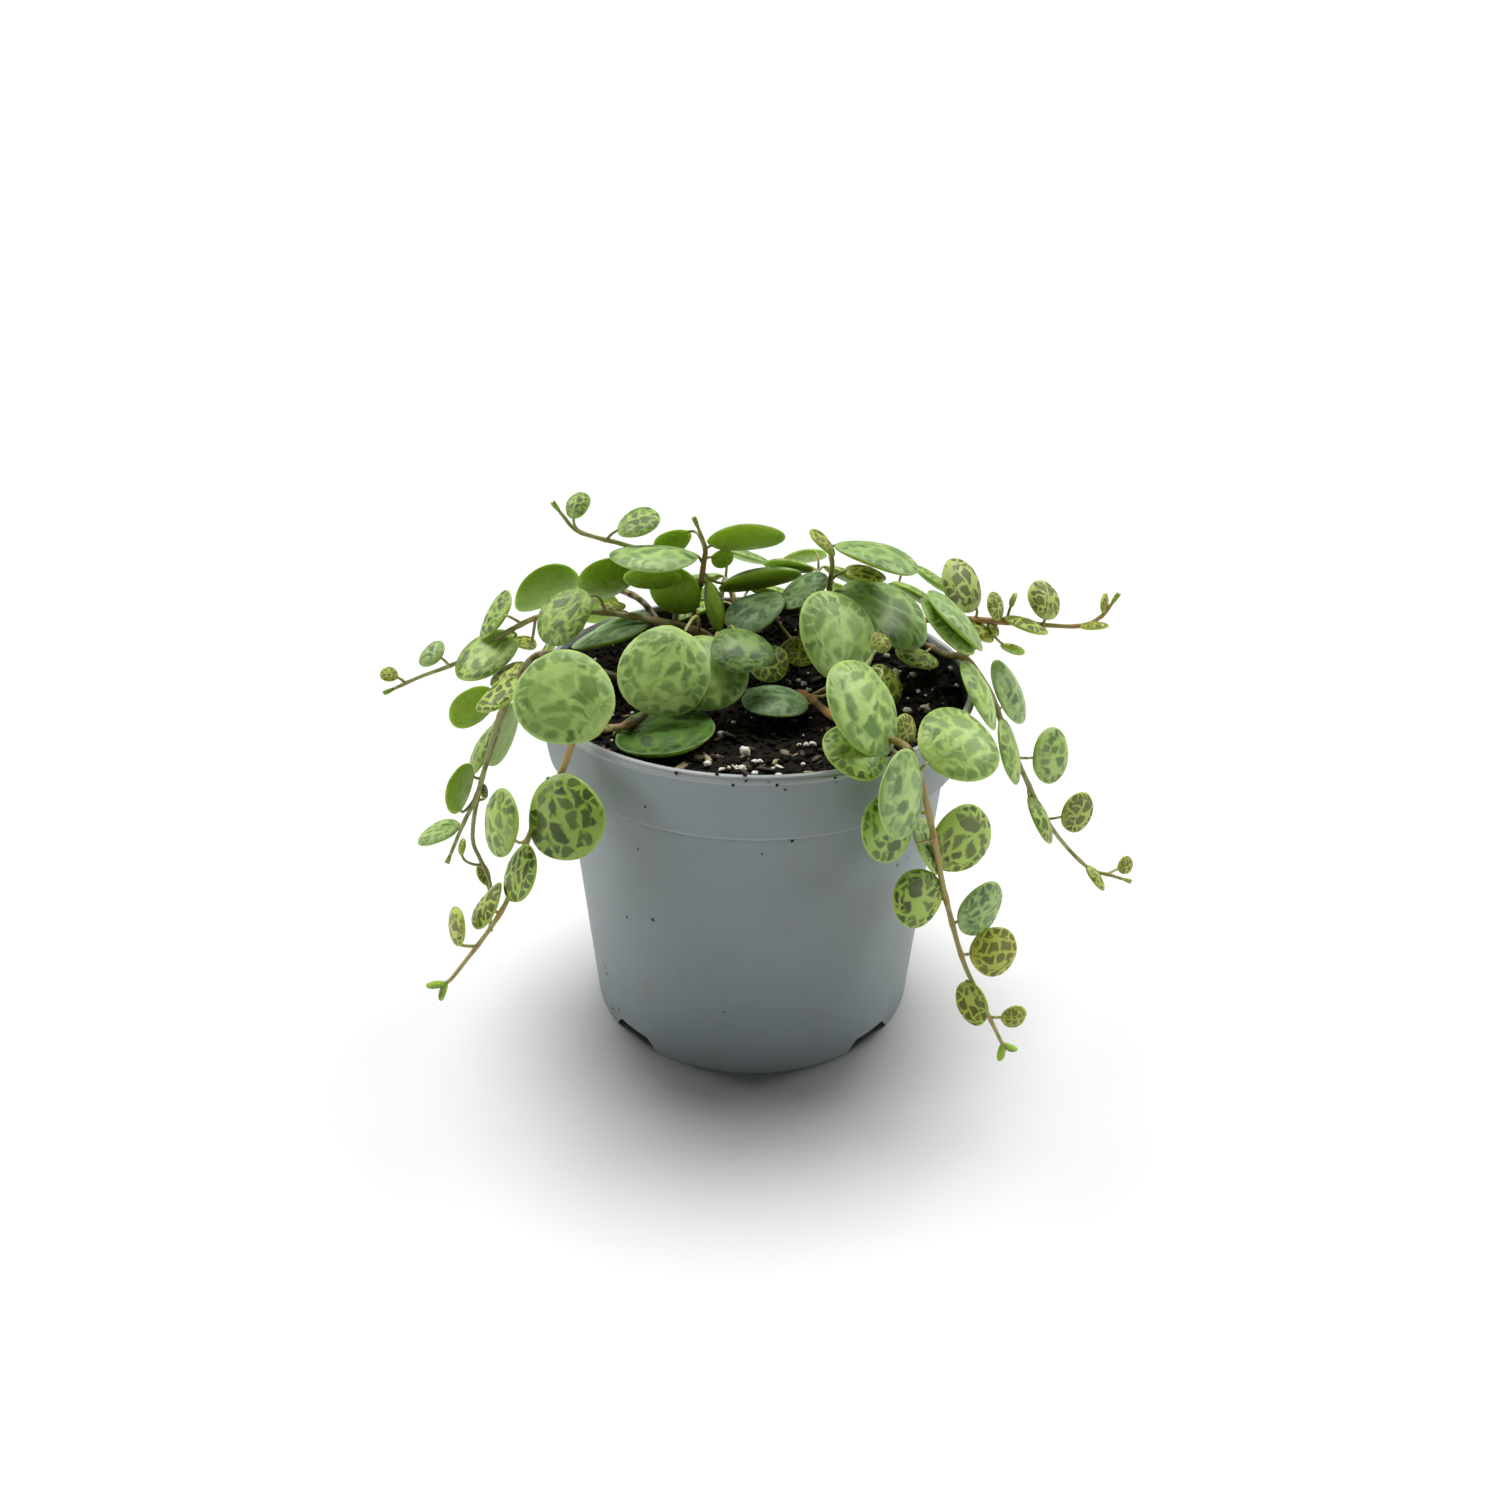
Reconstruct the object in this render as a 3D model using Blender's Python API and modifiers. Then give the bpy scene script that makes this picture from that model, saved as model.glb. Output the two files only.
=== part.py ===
"""A small trailing peperomia in a plastic nursery pot.

Metres, +Z up. The origin is the middle of the pot's underside, where it rests. The photo's front is -Y.
Places and lengths in the tables are millimetres, angles are degrees.
"""
import math
import random

import bmesh
import bpy
from mathutils import Euler, Matrix, Vector, noise

MM = 0.001
GAP = 0.3                     # clearance between pieces that touch

# Pot
RIM_RADIUS = 32.0
POT_HEIGHT = 54.0
WALL = 0.9
LIP_WIDTH = 1.0
LIP_ROUND = 0.3               # rounding of the lip and of the foot's edge
FILLET = 0.8                  # slope between the floor and the wall inside
BAND_HEIGHT = 9.8
BAND_FOOT_RADIUS = 30.7
WALL_TOP_RADIUS = 28.8
FOOT_RADIUS = 25.6
FOOT_WIDTH = 2.4
FLOOR_RISE = 2.4
PAD_RADIUS = 5.0
NOTCH_HEIGHT = 2.1
NOTCH_HALF_BOTTOM = 4.9
NOTCH_HALF_TOP = 3.1
DRAIN_RADIUS = 2.2
DRAIN_CIRCLE = 14.0
DRAINS = 6
POT_SIDES = 32

# Soil
SOIL_LEVEL = 50.6
SOIL_LUMP = 0.6
SOIL_GRAIN = 5.0
SOIL_SIDES = 28
SOIL_RINGS = (0.84, 0.66, 0.47, 0.26)
HOLE_DEPTH = 5.0

# Leafy stems
STEM_BASE = 0.75              # radius where a stem leaves the soil
STEM_TIP = 0.40
STEM_STEP = 4.6               # length of one straight piece of stem
PETIOLE = 0.34
LEAF_EDGE = 0.8               # thickness at a leaf's margin
LEAF_CROWN = 0.085            # rise of the middle over the margin, as a share of the leaf's length
LEAF_BELLY = 0.035            # the same on its underside
LEAF_BROADER = 0.10           # how much wider the tip half is than the base half
BIG_LEAF = 7.0                # from this length on a leaf has 10 sides, below it 7
TIP_LEAF = 3.4                # the two closed leaves at a stem's end
TIP_OPENING = 32.0

# One entry for each stem that the photo shows. Route: where the stem runs, from the soil to its tip.
# Leaves: share of the route where the leaf grows, its middle (x, y, z), the way its upper face looks
# (heading from +X, rise), and its length.
SHOWN = {
    "stem_front_left": dict(
        route=[(-14, -10, 52), (-17.6, -16.6, 53.2), (-22.1, -24.8, 56.4), (-24.7, -26.2, 51.3),
               (-29.8, -26.5, 41.3), (-33.3, -28.5, 32.1), (-40.2, -30.5, 22.6), (-41.8, -31, 21)],
        leaves=[(0.12, -12.2, -16.7, 52.1, -162, 84, 13.9),
                (0.22, -24.0, -22.5, 60.0, -79, 39, 12.9),
                (0.43, -23.9, -29.6, 46.9, -111, 24, 11.2),
                (0.55, -32.5, -28.0, 44.7, -146, 19, 9.3),
                (0.60, -30.0, -30.2, 38.7, -150, 33, 7.7),
                (0.78, -34.8, -31.0, 34.0, -171, 38, 7.0),
                (0.88, -38.6, -33.0, 32.0, -149, 12, 5.4)]),
    "stem_front_right": dict(
        route=[(6, -3, 52), (8.1, -7.8, 53.2), (10.9, -14.2, 53.7), (14.9, -22.8, 55.5),
               (18.8, -28.4, 56.8), (20.6, -30.4, 53.2), (22.4, -31, 47), (24.8, -31, 37.2),
               (28, -31, 26.7), (30.6, -31, 20.7), (35.3, -31, 11)],
        leaves=[(0.03, 11.4, -5.0, 61.7, -48, 36, 13.7),
                (0.05, 13.7, -24.5, 60.4, -31, 37, 13.6),
                (0.08, 2.9, -8.5, 53.3, -10, 86, 9.8),
                (0.13, 17.4, -6.0, 61.3, -50, 46, 3.3),
                (0.15, 18.4, -5.2, 54.5, -42, 41, 6.6),
                (0.30, 12.7, -28.4, 56.1, -54, 62, 8.8),
                (0.39, 19.5, -20.4, 55.0, -48, 21, 4.3),
                (0.42, 25.3, -27.6, 56.6, -55, 59, 11.5),
                (0.44, 18.0, -34.2, 53.4, -33, 11, 11.3),
                (0.49, 16.7, -31.6, 46.8, -50, 26, 8.5),
                (0.54, 22.4, -28.6, 42.3, -13, 27, 8.0),
                (0.58, 26.7, -28.4, 43.2, -64, 7, 9.7),
                (0.66, 21.3, -32.6, 36.9, -58, 17, 8.1),
                (0.71, 30.3, -28.6, 32.5, -55, 2, 8.3),
                (0.78, 32.6, -29.6, 26.2, -70, 19, 7.2),
                (0.86, 29.9, -32.6, 19.8, -145, 6, 6.2),
                (0.93, 36.4, -30.4, 15.6, -76, 3, 3.8)]),
    "stem_right_hanging": dict(
        route=[(23, 17, 52), (26.6, 14, 52.8), (29, 8.4, 53.6), (31, 1.2, 55.8), (34.6, 0, 51.4),
               (36.7, 0, 46.9), (40.8, 0, 38.4), (46.8, 0.5, 27.8), (53.8, 1.5, 19.7),
               (58.6, 2.4, 17.3), (60.8, 3, 16.2)],
        leaves=[(0.10, 24.5, 6.2, 54.0, 0, 73, 7.3),
                (0.22, 27.4, -0.8, 61.5, -3, 48, 11.2),
                (0.26, 28.6, -1.2, 62.7, -1, 46, 11.7),
                (0.28, 31.8, -7.0, 54.2, -10, 32, 10.9),
                (0.40, 38.5, 4.6, 49.0, -21, 34, 10.7),
                (0.44, 38.0, -2.2, 42.6, -15, 22, 10.5),
                (0.53, 45.7, 3.0, 39.0, -48, 18, 9.0),
                (0.61, 44.3, -1.8, 30.5, -12, 33, 8.2),
                (0.71, 51.3, 3.0, 28.9, -57, 11, 7.0),
                (0.86, 55.3, 0.6, 18.1, -9, 43, 4.7),
                (0.95, 61.2, 4.4, 18.0, -60, 20, 3.2)]),
    "stem_right_sprig": dict(
        route=[(17, 13, 52), (22, 13, 56.5), (29.7, 10.8, 58.4), (34.1, 7.6, 59.5), (42.4, 6, 59.5),
               (48.7, 7, 59), (52, 8, 60.2), (53.2, 8, 62.2)],
        leaves=[(0.46, 30.7, 8.4, 64.6, -44, 33, 8.6),
                (0.50, 33.6, 6.8, 58.1, -25, 68, 5.1),
                (0.51, 39.0, 7.4, 55.0, 58, 52, 3.9),
                (0.53, 35.4, 6.0, 62.3, -36, 22, 4.4),
                (0.56, 39.9, 4.6, 60.0, 24, 73, 6.8),
                (0.57, 35.8, 6.6, 58.4, -23, 40, 2.2),
                (0.58, 38.2, 7.2, 62.9, 171, 15, 2.2),
                (0.69, 42.8, 7.0, 62.9, -55, 38, 6.2),
                (0.84, 50.6, 6.4, 59.2, 105, 76, 4.2),
                (0.94, 52.2, 8.4, 62.1, -28, 8, 3.0)]),
    "stem_left_outer": dict(
        route=[(-15.3, -4.3, 52), (-22, -5, 56), (-30, -5.6, 57), (-35.4, -5.6, 51.6), (-38.2, -5.4, 45.6),
               (-41.3, -5.2, 36.4), (-44.2, -5, 30.6), (-46.8, -5, 25)],
        leaves=[(0.42, -35.8, -9.0, 54.1, -162, 61, 7.3),
                (0.50, -41.1, -3.0, 49.3, 132, 19, 8.0),
                (0.78, -44.2, -4.4, 36.2, 162, 9, 8.1),
                (0.88, -48.3, -4.2, 28.4, 178, 71, 7.1)]),
    "stem_left_inner": dict(
        route=[(-18, -0.6, 52), (-25, -1.8, 55.6), (-31.5, -1.4, 57), (-36.2, -0.8, 50),
               (-40, 0.4, 41), (-43.1, 0.8, 32.1), (-44.6, 0.4, 24.6), (-43.5, -0.5, 21), (-42.3, -1, 16.8),
               (-42.8, -1.6, 9.8)],
        leaves=[(0.36, -37.0, 2.4, 52.1, -173, 62, 6.3),
                (0.48, -40.0, 7.0, 39.8, 164, 15, 11.3),
                (0.60, -42.5, 4.2, 38.4, -171, 34, 9.1),
                (0.66, -42.0, 0.4, 33.1, -5, 10, 2.4),
                (0.84, -46.4, 0.2, 23.0, -160, 20, 2.8),
                (0.93, -43.6, 0.6, 17.6, -5, 25, 3.8)]),
    "stem_far_left": dict(
        route=[(-4, 0, 52), (-6, 3, 57.4), (-9.7, 4.5, 59), (-14.9, 5, 60), (-23.1, 6, 60.8),
               (-31, 6.5, 60.1), (-36.2, 7, 57.8), (-44.7, 7, 52.4), (-51.2, 6, 50), (-55, 5, 48.5)],
        leaves=[(0.04, -1.9, -7.0, 60.6, -66, 71, 9.3),
                (0.08, -7.0, -8.2, 57.6, -87, 58, 12.7),
                (0.16, -12.2, -12.0, 59.4, -84, 44, 13.1),
                (0.27, -21.4, 6.6, 57.1, 167, 69, 12.9),
                (0.33, -21.5, 8.6, 60.7, 62, 86, 4.2),
                (0.40, -27.7, 2.6, 61.4, -128, 45, 9.6),
                (0.58, -35.9, 11.0, 53.7, -1, 78, 4.3),
                (0.62, -39.3, 9.2, 58.9, -162, 37, 8.6),
                (0.66, -40.5, 5.8, 53.8, -133, 62, 10.6),
                (0.85, -48.9, 6.4, 53.6, -142, 51, 5.0),
                (0.97, -55.5, 5.0, 50.8, -63, 56, 2.7)]),
    "stem_back_sprig": dict(
        route=[(-13, 17, 52), (-12.6, 17, 60), (-15, 15.5, 66), (-20, 12.4, 69.2), (-23.1, 10.4, 70.7),
               (-26.4, 9, 72.4), (-28.4, 8.4, 75.2)],
        leaves=[(0.74, -17.5, 11.0, 72.9, -127, 63, 6.8),
                (0.86, -26.0, 9.4, 75.9, -123, 44, 4.3)]),
    "stem_back_left": dict(
        route=[(-15, 20, 52), (-18.8, 23, 56.4), (-24.4, 26.6, 56.8), (-28.6, 29.6, 52), (-31, 31.5, 44),
               (-32.5, 33, 36), (-33.5, 34.5, 30)],
        leaves=[(0.20, -23.6, 20.0, 60.9, 114, 32, 10.0),
                (0.36, -33.2, 19.0, 59.7, 126, 33, 11.3)]),
    "stem_upright": dict(
        route=[(-9, 14, 52), (-9.6, 13.2, 58.6), (-8.5, 12.2, 63), (-7.8, 11.2, 67.3), (-7.6, 11, 69.4),
               (-8.6, 11, 72.2)],
        leaves=[(0.42, -12.2, 11.4, 62.1, 76, 5, 8.2),
                (0.55, -15.4, 9.2, 65.0, 95, 48, 8.6),
                (0.58, -6.6, 10.6, 60.2, 25, 4, 7.6),
                (0.66, 0.4, 14.6, 63.0, 110, 58, 13.2),
                (0.70, -14.8, 7.0, 69.0, 63, 85, 13.1),
                (0.74, -5.2, 14.0, 66.6, 106, 22, 3.6),
                (0.77, -1.6, 10.6, 70.6, 96, 55, 11.8),
                (0.80, -12.7, 15.8, 68.5, 112, 33, 6.1)]),
    "stem_right_upright": dict(
        route=[(11.5, 8.5, 52), (11, 8.8, 58), (11, 8.6, 64.3), (11.2, 8, 68), (10.8, 7.4, 69.8)],
        leaves=[(0.50, 19.1, 6.8, 60.9, -40, 61, 14.9),
                (0.62, 5.3, 17.4, 64.2, 75, 61, 8.1),
                (0.72, 16.2, 9.6, 66.0, 0, 80, 6.4),
                (0.86, 17.4, 7.0, 69.3, 7, 76, 12.8),
                (0.97, 9.6, 7.0, 71.4, -4, 46, 5.2)]),
    "stem_back_right": dict(
        route=[(6, 8, 52), (8, 15, 54.4), (9.6, 22, 55.4), (10.4, 31.6, 56.8), (10.8, 36.4, 53),
               (11, 38.6, 45), (11.4, 40, 36), (12, 41, 28)],
        leaves=[(0.03, 0.0, 5.6, 61.3, -139, 65, 9.5),
                (0.06, 6.9, 6.8, 64.2, -158, 57, 8.1),
                (0.07, 2.0, 0.5, 55.3, -90, 50, 6.2),
                (0.09, 6.6, 3.2, 55.8, -94, 59, 5.0)]),
}

# Stems that hang round the back, where the photo does not reach: their route, and the leaves that lie over
# the soil. The rule for hidden leaves fills the rest.
HIDDEN = {
    "stem_back": dict(
        route=[(-2, 17, 52), (-3, 23, 54.6), (-5, 31.8, 56.8), (-6, 36.4, 52.6), (-7, 38.4, 44),
               (-8, 39.8, 35), (-9, 41, 26), (-9, 42, 19)],
        leaves=[(0.03, -8.8, 20.8, 55.8, 150, 66, 8.4),
                (0.05, 3.4, 24.8, 57.0, 60, 62, 9.4),
                (0.10, -10.4, 28.6, 57.4, 118, 60, 10.4)]),
    "stem_right_back": dict(
        route=[(13, 19, 52), (17.6, 22, 55), (23.2, 25, 56.6), (26.2, 28, 52), (28, 30.4, 43),
               (29, 32.4, 34)],
        leaves=[(0.04, 17.6, 19.8, 57.2, 10, 64, 9.2),
                (0.22, 25.8, 20.6, 58.4, 28, 56, 9.6)]),
}
HIDDEN_START = {"stem_back": 0.30, "stem_right_back": 0.34, "stem_back_left": 0.46, "stem_back_right": 0.32}
HIDDEN_SPACING = 5.8          # length of stem between two leaves
RIM_CLEAR = 53.5              # above this height a hidden leaf stands over the rim
HIDDEN_FIRST = 9.0            # length of the first leaf of such a stem, and of its last
HIDDEN_LAST = 4.6
SEED = 20


def point(x, y, z):
    return Vector((x, y, z))


def looking(heading, rise):
    """Unit vector towards a heading and a rise in degrees."""
    h, r = math.radians(heading), math.radians(rise)
    return Vector((math.cos(r) * math.cos(h), math.cos(r) * math.sin(h), math.sin(r)))


def material(name, colour, roughness):
    made = bpy.data.materials.new(name)
    made.use_nodes = True
    shader = made.node_tree.nodes["Principled BSDF"]
    shader.inputs["Base Color"].default_value = (*colour, 1)
    shader.inputs["Roughness"].default_value = roughness
    shader.inputs["Metallic"].default_value = 0
    return made


def collection(name):
    made = bpy.data.collections.new(name)
    bpy.context.scene.collection.children.link(made)
    return made


def add_object(name, mesh, home, look=None):
    piece = bpy.data.objects.new(name, mesh)
    home.objects.link(piece)
    if look:
        mesh.materials.clear()
        mesh.materials.append(look)
    return piece


def add_bmesh(name, bm, home, look=None):
    mesh = bpy.data.meshes.new(name)
    bmesh.ops.recalc_face_normals(bm, faces=bm.faces)
    bm.to_mesh(mesh)
    bm.free()
    return add_object(name, mesh, home, look)


def settle(piece):
    """Replaces an object's mesh by the one that its modifiers give."""
    bpy.context.view_layer.update()
    evaluated = piece.evaluated_get(bpy.context.evaluated_depsgraph_get())
    done = bpy.data.meshes.new_from_object(evaluated)
    piece.modifiers.clear()
    piece.data = done


def drop(pieces):
    for piece in list(pieces):
        bpy.data.objects.remove(piece)


def turned(name, outline, sides, home, look):
    """Turns an outline of (radius, height) points round Z."""
    mesh = bpy.data.meshes.new(name)
    points = [(r * MM, 0, z * MM) for r, z in outline]
    mesh.from_pydata(points, [(i, i + 1) for i in range(len(points) - 1)], [])
    piece = add_object(name, mesh, home, look)
    screw = piece.modifiers.new("Turn", "SCREW")
    screw.steps = screw.render_steps = sides
    screw.use_merge_vertices = True
    screw.merge_threshold = 0.00001
    return piece


def cut(piece, cutter, name):
    step = piece.modifiers.new(name, "BOOLEAN")
    step.operation = "DIFFERENCE"
    step.object = cutter
    cutter.display_type = "WIRE"
    cutter.hide_render = True


def cylinder(name, radius, bottom, top, sides, home):
    bm = bmesh.new()
    bmesh.ops.create_cone(bm, cap_ends=True, segments=sides, radius1=radius * MM, radius2=radius * MM,
                          depth=(top - bottom) * MM)
    bmesh.ops.translate(bm, verts=bm.verts, vec=(0, 0, (top + bottom) / 2 * MM))
    return add_bmesh(name, bm, home)


def inner_radius(z):
    """The pot's inner radius at a height: a tapering wall, a ledge and the wider rim band."""
    ledge = POT_HEIGHT - BAND_HEIGHT
    if z < ledge:
        return FOOT_RADIUS + (WALL_TOP_RADIUS - FOOT_RADIUS) * z / ledge - WALL
    return BAND_FOOT_RADIUS + (RIM_RADIUS - BAND_FOOT_RADIUS) * (z - ledge) / BAND_HEIGHT - WALL


def build_pot(parts, cutters):
    look = material("pot_plastic", (0.22, 0.26, 0.28), 0.5)
    ledge = POT_HEIGHT - BAND_HEIGHT
    floor_top = FLOOR_RISE + WALL
    inside = [(0, floor_top),
              (inner_radius(floor_top) - FILLET, floor_top),
              (inner_radius(floor_top + FILLET), floor_top + FILLET),
              (inner_radius(ledge - 0.01), ledge + WALL - GAP),
              (inner_radius(ledge + WALL), ledge + WALL)]
    lip = [(RIM_RADIUS - LIP_WIDTH, POT_HEIGHT - LIP_ROUND),
           (RIM_RADIUS - LIP_WIDTH + LIP_ROUND, POT_HEIGHT),
           (RIM_RADIUS - LIP_ROUND, POT_HEIGHT),
           (RIM_RADIUS, POT_HEIGHT - LIP_ROUND)]
    outside = [(BAND_FOOT_RADIUS + LIP_ROUND, ledge + LIP_ROUND),
               (BAND_FOOT_RADIUS, ledge),
               (WALL_TOP_RADIUS, ledge),
               (FOOT_RADIUS + LIP_ROUND / 2, LIP_ROUND),
               (FOOT_RADIUS - LIP_ROUND / 2, 0)]
    under = [(FOOT_RADIUS - FOOT_WIDTH, 0),
             (FOOT_RADIUS - FOOT_WIDTH, FLOOR_RISE),
             (PAD_RADIUS + LIP_ROUND, FLOOR_RISE),
             (PAD_RADIUS, 0),
             (0, 0)]
    pot = turned("pot", inside + lip + outside + under, POT_SIDES, parts, look)
    for i in range(4):
        cut(pot, notch_cutter(i, cutters), f"Notch {i + 1}")
    for i in range(DRAINS):
        drain = cylinder(f"drain_cutter_{i + 1}", DRAIN_RADIUS, FLOOR_RISE - 1, floor_top + 1, 10, cutters)
        turn = math.tau * i / DRAINS
        drain.location = point(math.cos(turn), math.sin(turn), 0) * DRAIN_CIRCLE * MM
        cut(pot, drain, f"Drain {i + 1}")
    return pot


def notch_cutter(i, cutters):
    """A block through the foot skirt, wider at the bottom, one quarter turn from the next."""
    bm = bmesh.new()
    bmesh.ops.create_cube(bm, size=1)
    inside, outside = FOOT_RADIUS - FOOT_WIDTH - 1, FOOT_RADIUS + 2
    for v in bm.verts:
        half = NOTCH_HALF_TOP if v.co.z > 0 else NOTCH_HALF_BOTTOM * 1.06
        height = NOTCH_HEIGHT if v.co.z > 0 else -0.7
        reach = outside if v.co.x > 0 else inside
        v.co = point(reach, math.copysign(half, v.co.y), height) * MM
    cutter = add_bmesh(f"notch_cutter_{i + 1}", bm, cutters)
    cutter.rotation_euler = Euler((0, 0, math.radians(45 + 90 * i)))
    return cutter


def soil_lump(x, y):
    """Height of the soil's top over its level, from two sizes of smooth noise."""
    coarse = noise.noise(point(x / SOIL_GRAIN, y / SOIL_GRAIN, 3.7))
    fine = noise.noise(point(x * 2.4 / SOIL_GRAIN, y * 2.4 / SOIL_GRAIN, 9.1))
    return SOIL_LUMP * (coarse + 0.5 * fine)


def build_soil(parts, cutters, stems):
    look = material("peat", (0.018, 0.013, 0.010), 0.95)
    ledge = POT_HEIGHT - BAND_HEIGHT
    bottom = FLOOR_RISE + WALL + GAP
    rim = inner_radius(SOIL_LEVEL) - GAP
    below = inner_radius(ledge - 0.01) - GAP
    outline = [(0, SOIL_LEVEL)]
    outline += [(rim * share, SOIL_LEVEL) for share in reversed(SOIL_RINGS)]
    outline += [(rim, SOIL_LEVEL - 0.4), (inner_radius(ledge + WALL) - GAP - 0.2, ledge + WALL + GAP),
                (below, ledge + WALL + GAP), (inner_radius(bottom + 1) - GAP - 0.6, bottom + 0.6),
                (inner_radius(bottom) - GAP - 1.6, bottom), (0, bottom)]
    soil = turned("soil", outline, SOIL_SIDES, parts, look)
    settle(soil)
    for v in soil.data.vertices:
        x, y, z = v.co / MM
        if z > SOIL_LEVEL - 0.1:
            v.co.z += soil_lump(x, y) * MM
    for name, plan in stems.items():
        x, y, _ = plan["route"][0]
        bottom = SOIL_LEVEL - HOLE_DEPTH - GAP
        hole = cylinder(f"hole_{name}", STEM_BASE + GAP + 0.1, bottom, SOIL_LEVEL + 4, 8, cutters)
        hole.location = point(x, y, 0) * MM
        cut(soil, hole, f"Hole for {name}")
    return soil


def smooth_route(route):
    """Points along a smooth curve through the route, and the straight root below its first point."""
    places = [point(*p) for p in route]
    before = places[0] - point(0, 0, 4)
    after = places[-1] * 2 - places[-2]
    chain = [before, *places, after]
    curve = []
    for a, b, c, d in zip(chain, chain[1:], chain[2:], chain[3:]):
        pieces = max(1, round((c - b).length / STEM_STEP))
        for i in range(pieces):
            t = i / pieces
            curve.append(0.5 * ((2 * b) + (c - a) * t + (2 * a - 5 * b + 4 * c - d) * t * t
                                + (3 * b - a - 3 * c + d) * t ** 3))
    curve.append(places[-1])
    return curve


def along(curve, share):
    """The place at a share of a curve's length."""
    lengths = [(b - a).length for a, b in zip(curve, curve[1:])]
    left = share * sum(lengths)
    for a, b, length in zip(curve, curve[1:], lengths):
        if left <= length:
            return a.lerp(b, left / length)
        left -= length
    return curve[-1].copy()


def tube(name, places, radii, resolution, home):
    """A tapering tube through places, as a closed mesh."""
    data = bpy.data.curves.new(name, "CURVE")
    data.dimensions = "3D"
    data.bevel_depth = MM
    data.bevel_resolution = resolution
    data.use_fill_caps = True
    spline = data.splines.new("POLY")
    spline.points.add(len(places) - 1)
    for target, place, radius in zip(spline.points, places, radii):
        target.co = (*(place * MM), 1)
        target.radius = radius
    guide = bpy.data.objects.new(name, data)
    home.objects.link(guide)
    bpy.context.view_layer.update()
    mesh = bpy.data.meshes.new_from_object(guide.evaluated_get(bpy.context.evaluated_depsgraph_get()))
    place = guide.matrix_world.copy()
    bpy.data.objects.remove(guide)
    bm = bmesh.new()
    bm.from_mesh(mesh)
    bmesh.ops.remove_doubles(bm, verts=bm.verts, dist=0.00001)
    piece = add_bmesh(name, bm, home)
    piece.matrix_world = place
    return piece


def leaf_axes(root, middle, face):
    """The leaf's own axes: from its base to its tip, across, and out of its upper face."""
    lengthwise = middle - root
    lengthwise -= face * lengthwise.dot(face)
    lengthwise.normalize()
    return lengthwise, face.cross(lengthwise), face


def leaf_blade(name, middle, axes, length, width, home):
    """A round succulent blade: a thick disc, domed above, less so below, a little wider past its middle."""
    bm = bmesh.new()
    sides = 10 if length >= BIG_LEAF else 7
    bmesh.ops.create_cone(bm, cap_ends=True, segments=sides, radius1=0.5, radius2=0.5, depth=1)
    for cap in [f for f in bm.faces if len(f.verts) == sides]:
        upper = cap.normal.z > 0
        centre = bmesh.ops.poke(bm, faces=[cap])["verts"][0]
        centre.co.z += (LEAF_CROWN if upper else LEAF_BELLY) * length / LEAF_EDGE
    for v in bm.verts:
        broader = 1 + LEAF_BROADER * v.co.x
        v.co = Vector((v.co.x * length, v.co.y * width * broader, v.co.z * LEAF_EDGE)) * MM
    turn = Matrix((axes[0], axes[1], axes[2])).transposed().to_4x4()
    bmesh.ops.transform(bm, matrix=Matrix.Translation(middle * MM) @ turn, verts=bm.verts)
    return add_bmesh(name, bm, home)


def petiole_places(root, base, lengthwise):
    """Three places on the leaf stalk, which leaves the stem and bends into the leaf's own direction."""
    bend = base - lengthwise * (base - root).length * 0.4
    halfway = root * 0.25 + bend * 0.5 + base * 0.25
    return [root, halfway, base + lengthwise * 0.7]


def grow_leaf(name, root, middle, face, length, width, home):
    axes = leaf_axes(root, middle, face)
    base = middle - axes[0] * length / 2
    leaf_blade(f"{name}_blade", middle, axes, length, width, home)
    tube(f"{name}_stalk", petiole_places(root, base, axes[0]), [PETIOLE] * 3, 0, home)


def grow_tip(name, curve, home):
    """Two narrow closed leaves that end the stem."""
    end = curve[-1]
    along_stem = (end - curve[-2]).normalized()
    side = along_stem.cross(point(0.2, -1, 0.3)).normalized()
    for sign in (-1, 1):
        turn = math.radians(TIP_OPENING) * sign
        out = along_stem * math.cos(turn) + side * math.sin(turn)
        face = (side * math.cos(turn) - along_stem * math.sin(turn)) * -sign
        middle = end + out * TIP_LEAF * 0.42
        leaf_blade(f"{name}_{sign}", middle, (out, face.cross(out), face), TIP_LEAF, 1.3, home)


def grow_stem(name, plan, home):
    """The stem, its leaves and its tip as separate overlapping bodies in a collection."""
    curve = smooth_route(plan["route"])
    root = curve[0] - point(0, 0, curve[0].z - SOIL_LEVEL + HOLE_DEPTH)
    places = [root, *curve]
    radii = [STEM_BASE + (STEM_TIP - STEM_BASE) * i / len(places) for i in range(len(places))]
    stem = tube(name, places, radii, 1, home)
    for i, (share, x, y, z, heading, rise, length) in enumerate(plan["leaves"]):
        grow_leaf(f"{name}_{i + 1}", along(curve, share), point(x, y, z), looking(heading, rise), length,
                  length * 0.97, home)
    grow_tip(f"{name}_tip", curve, home)
    return stem


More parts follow.
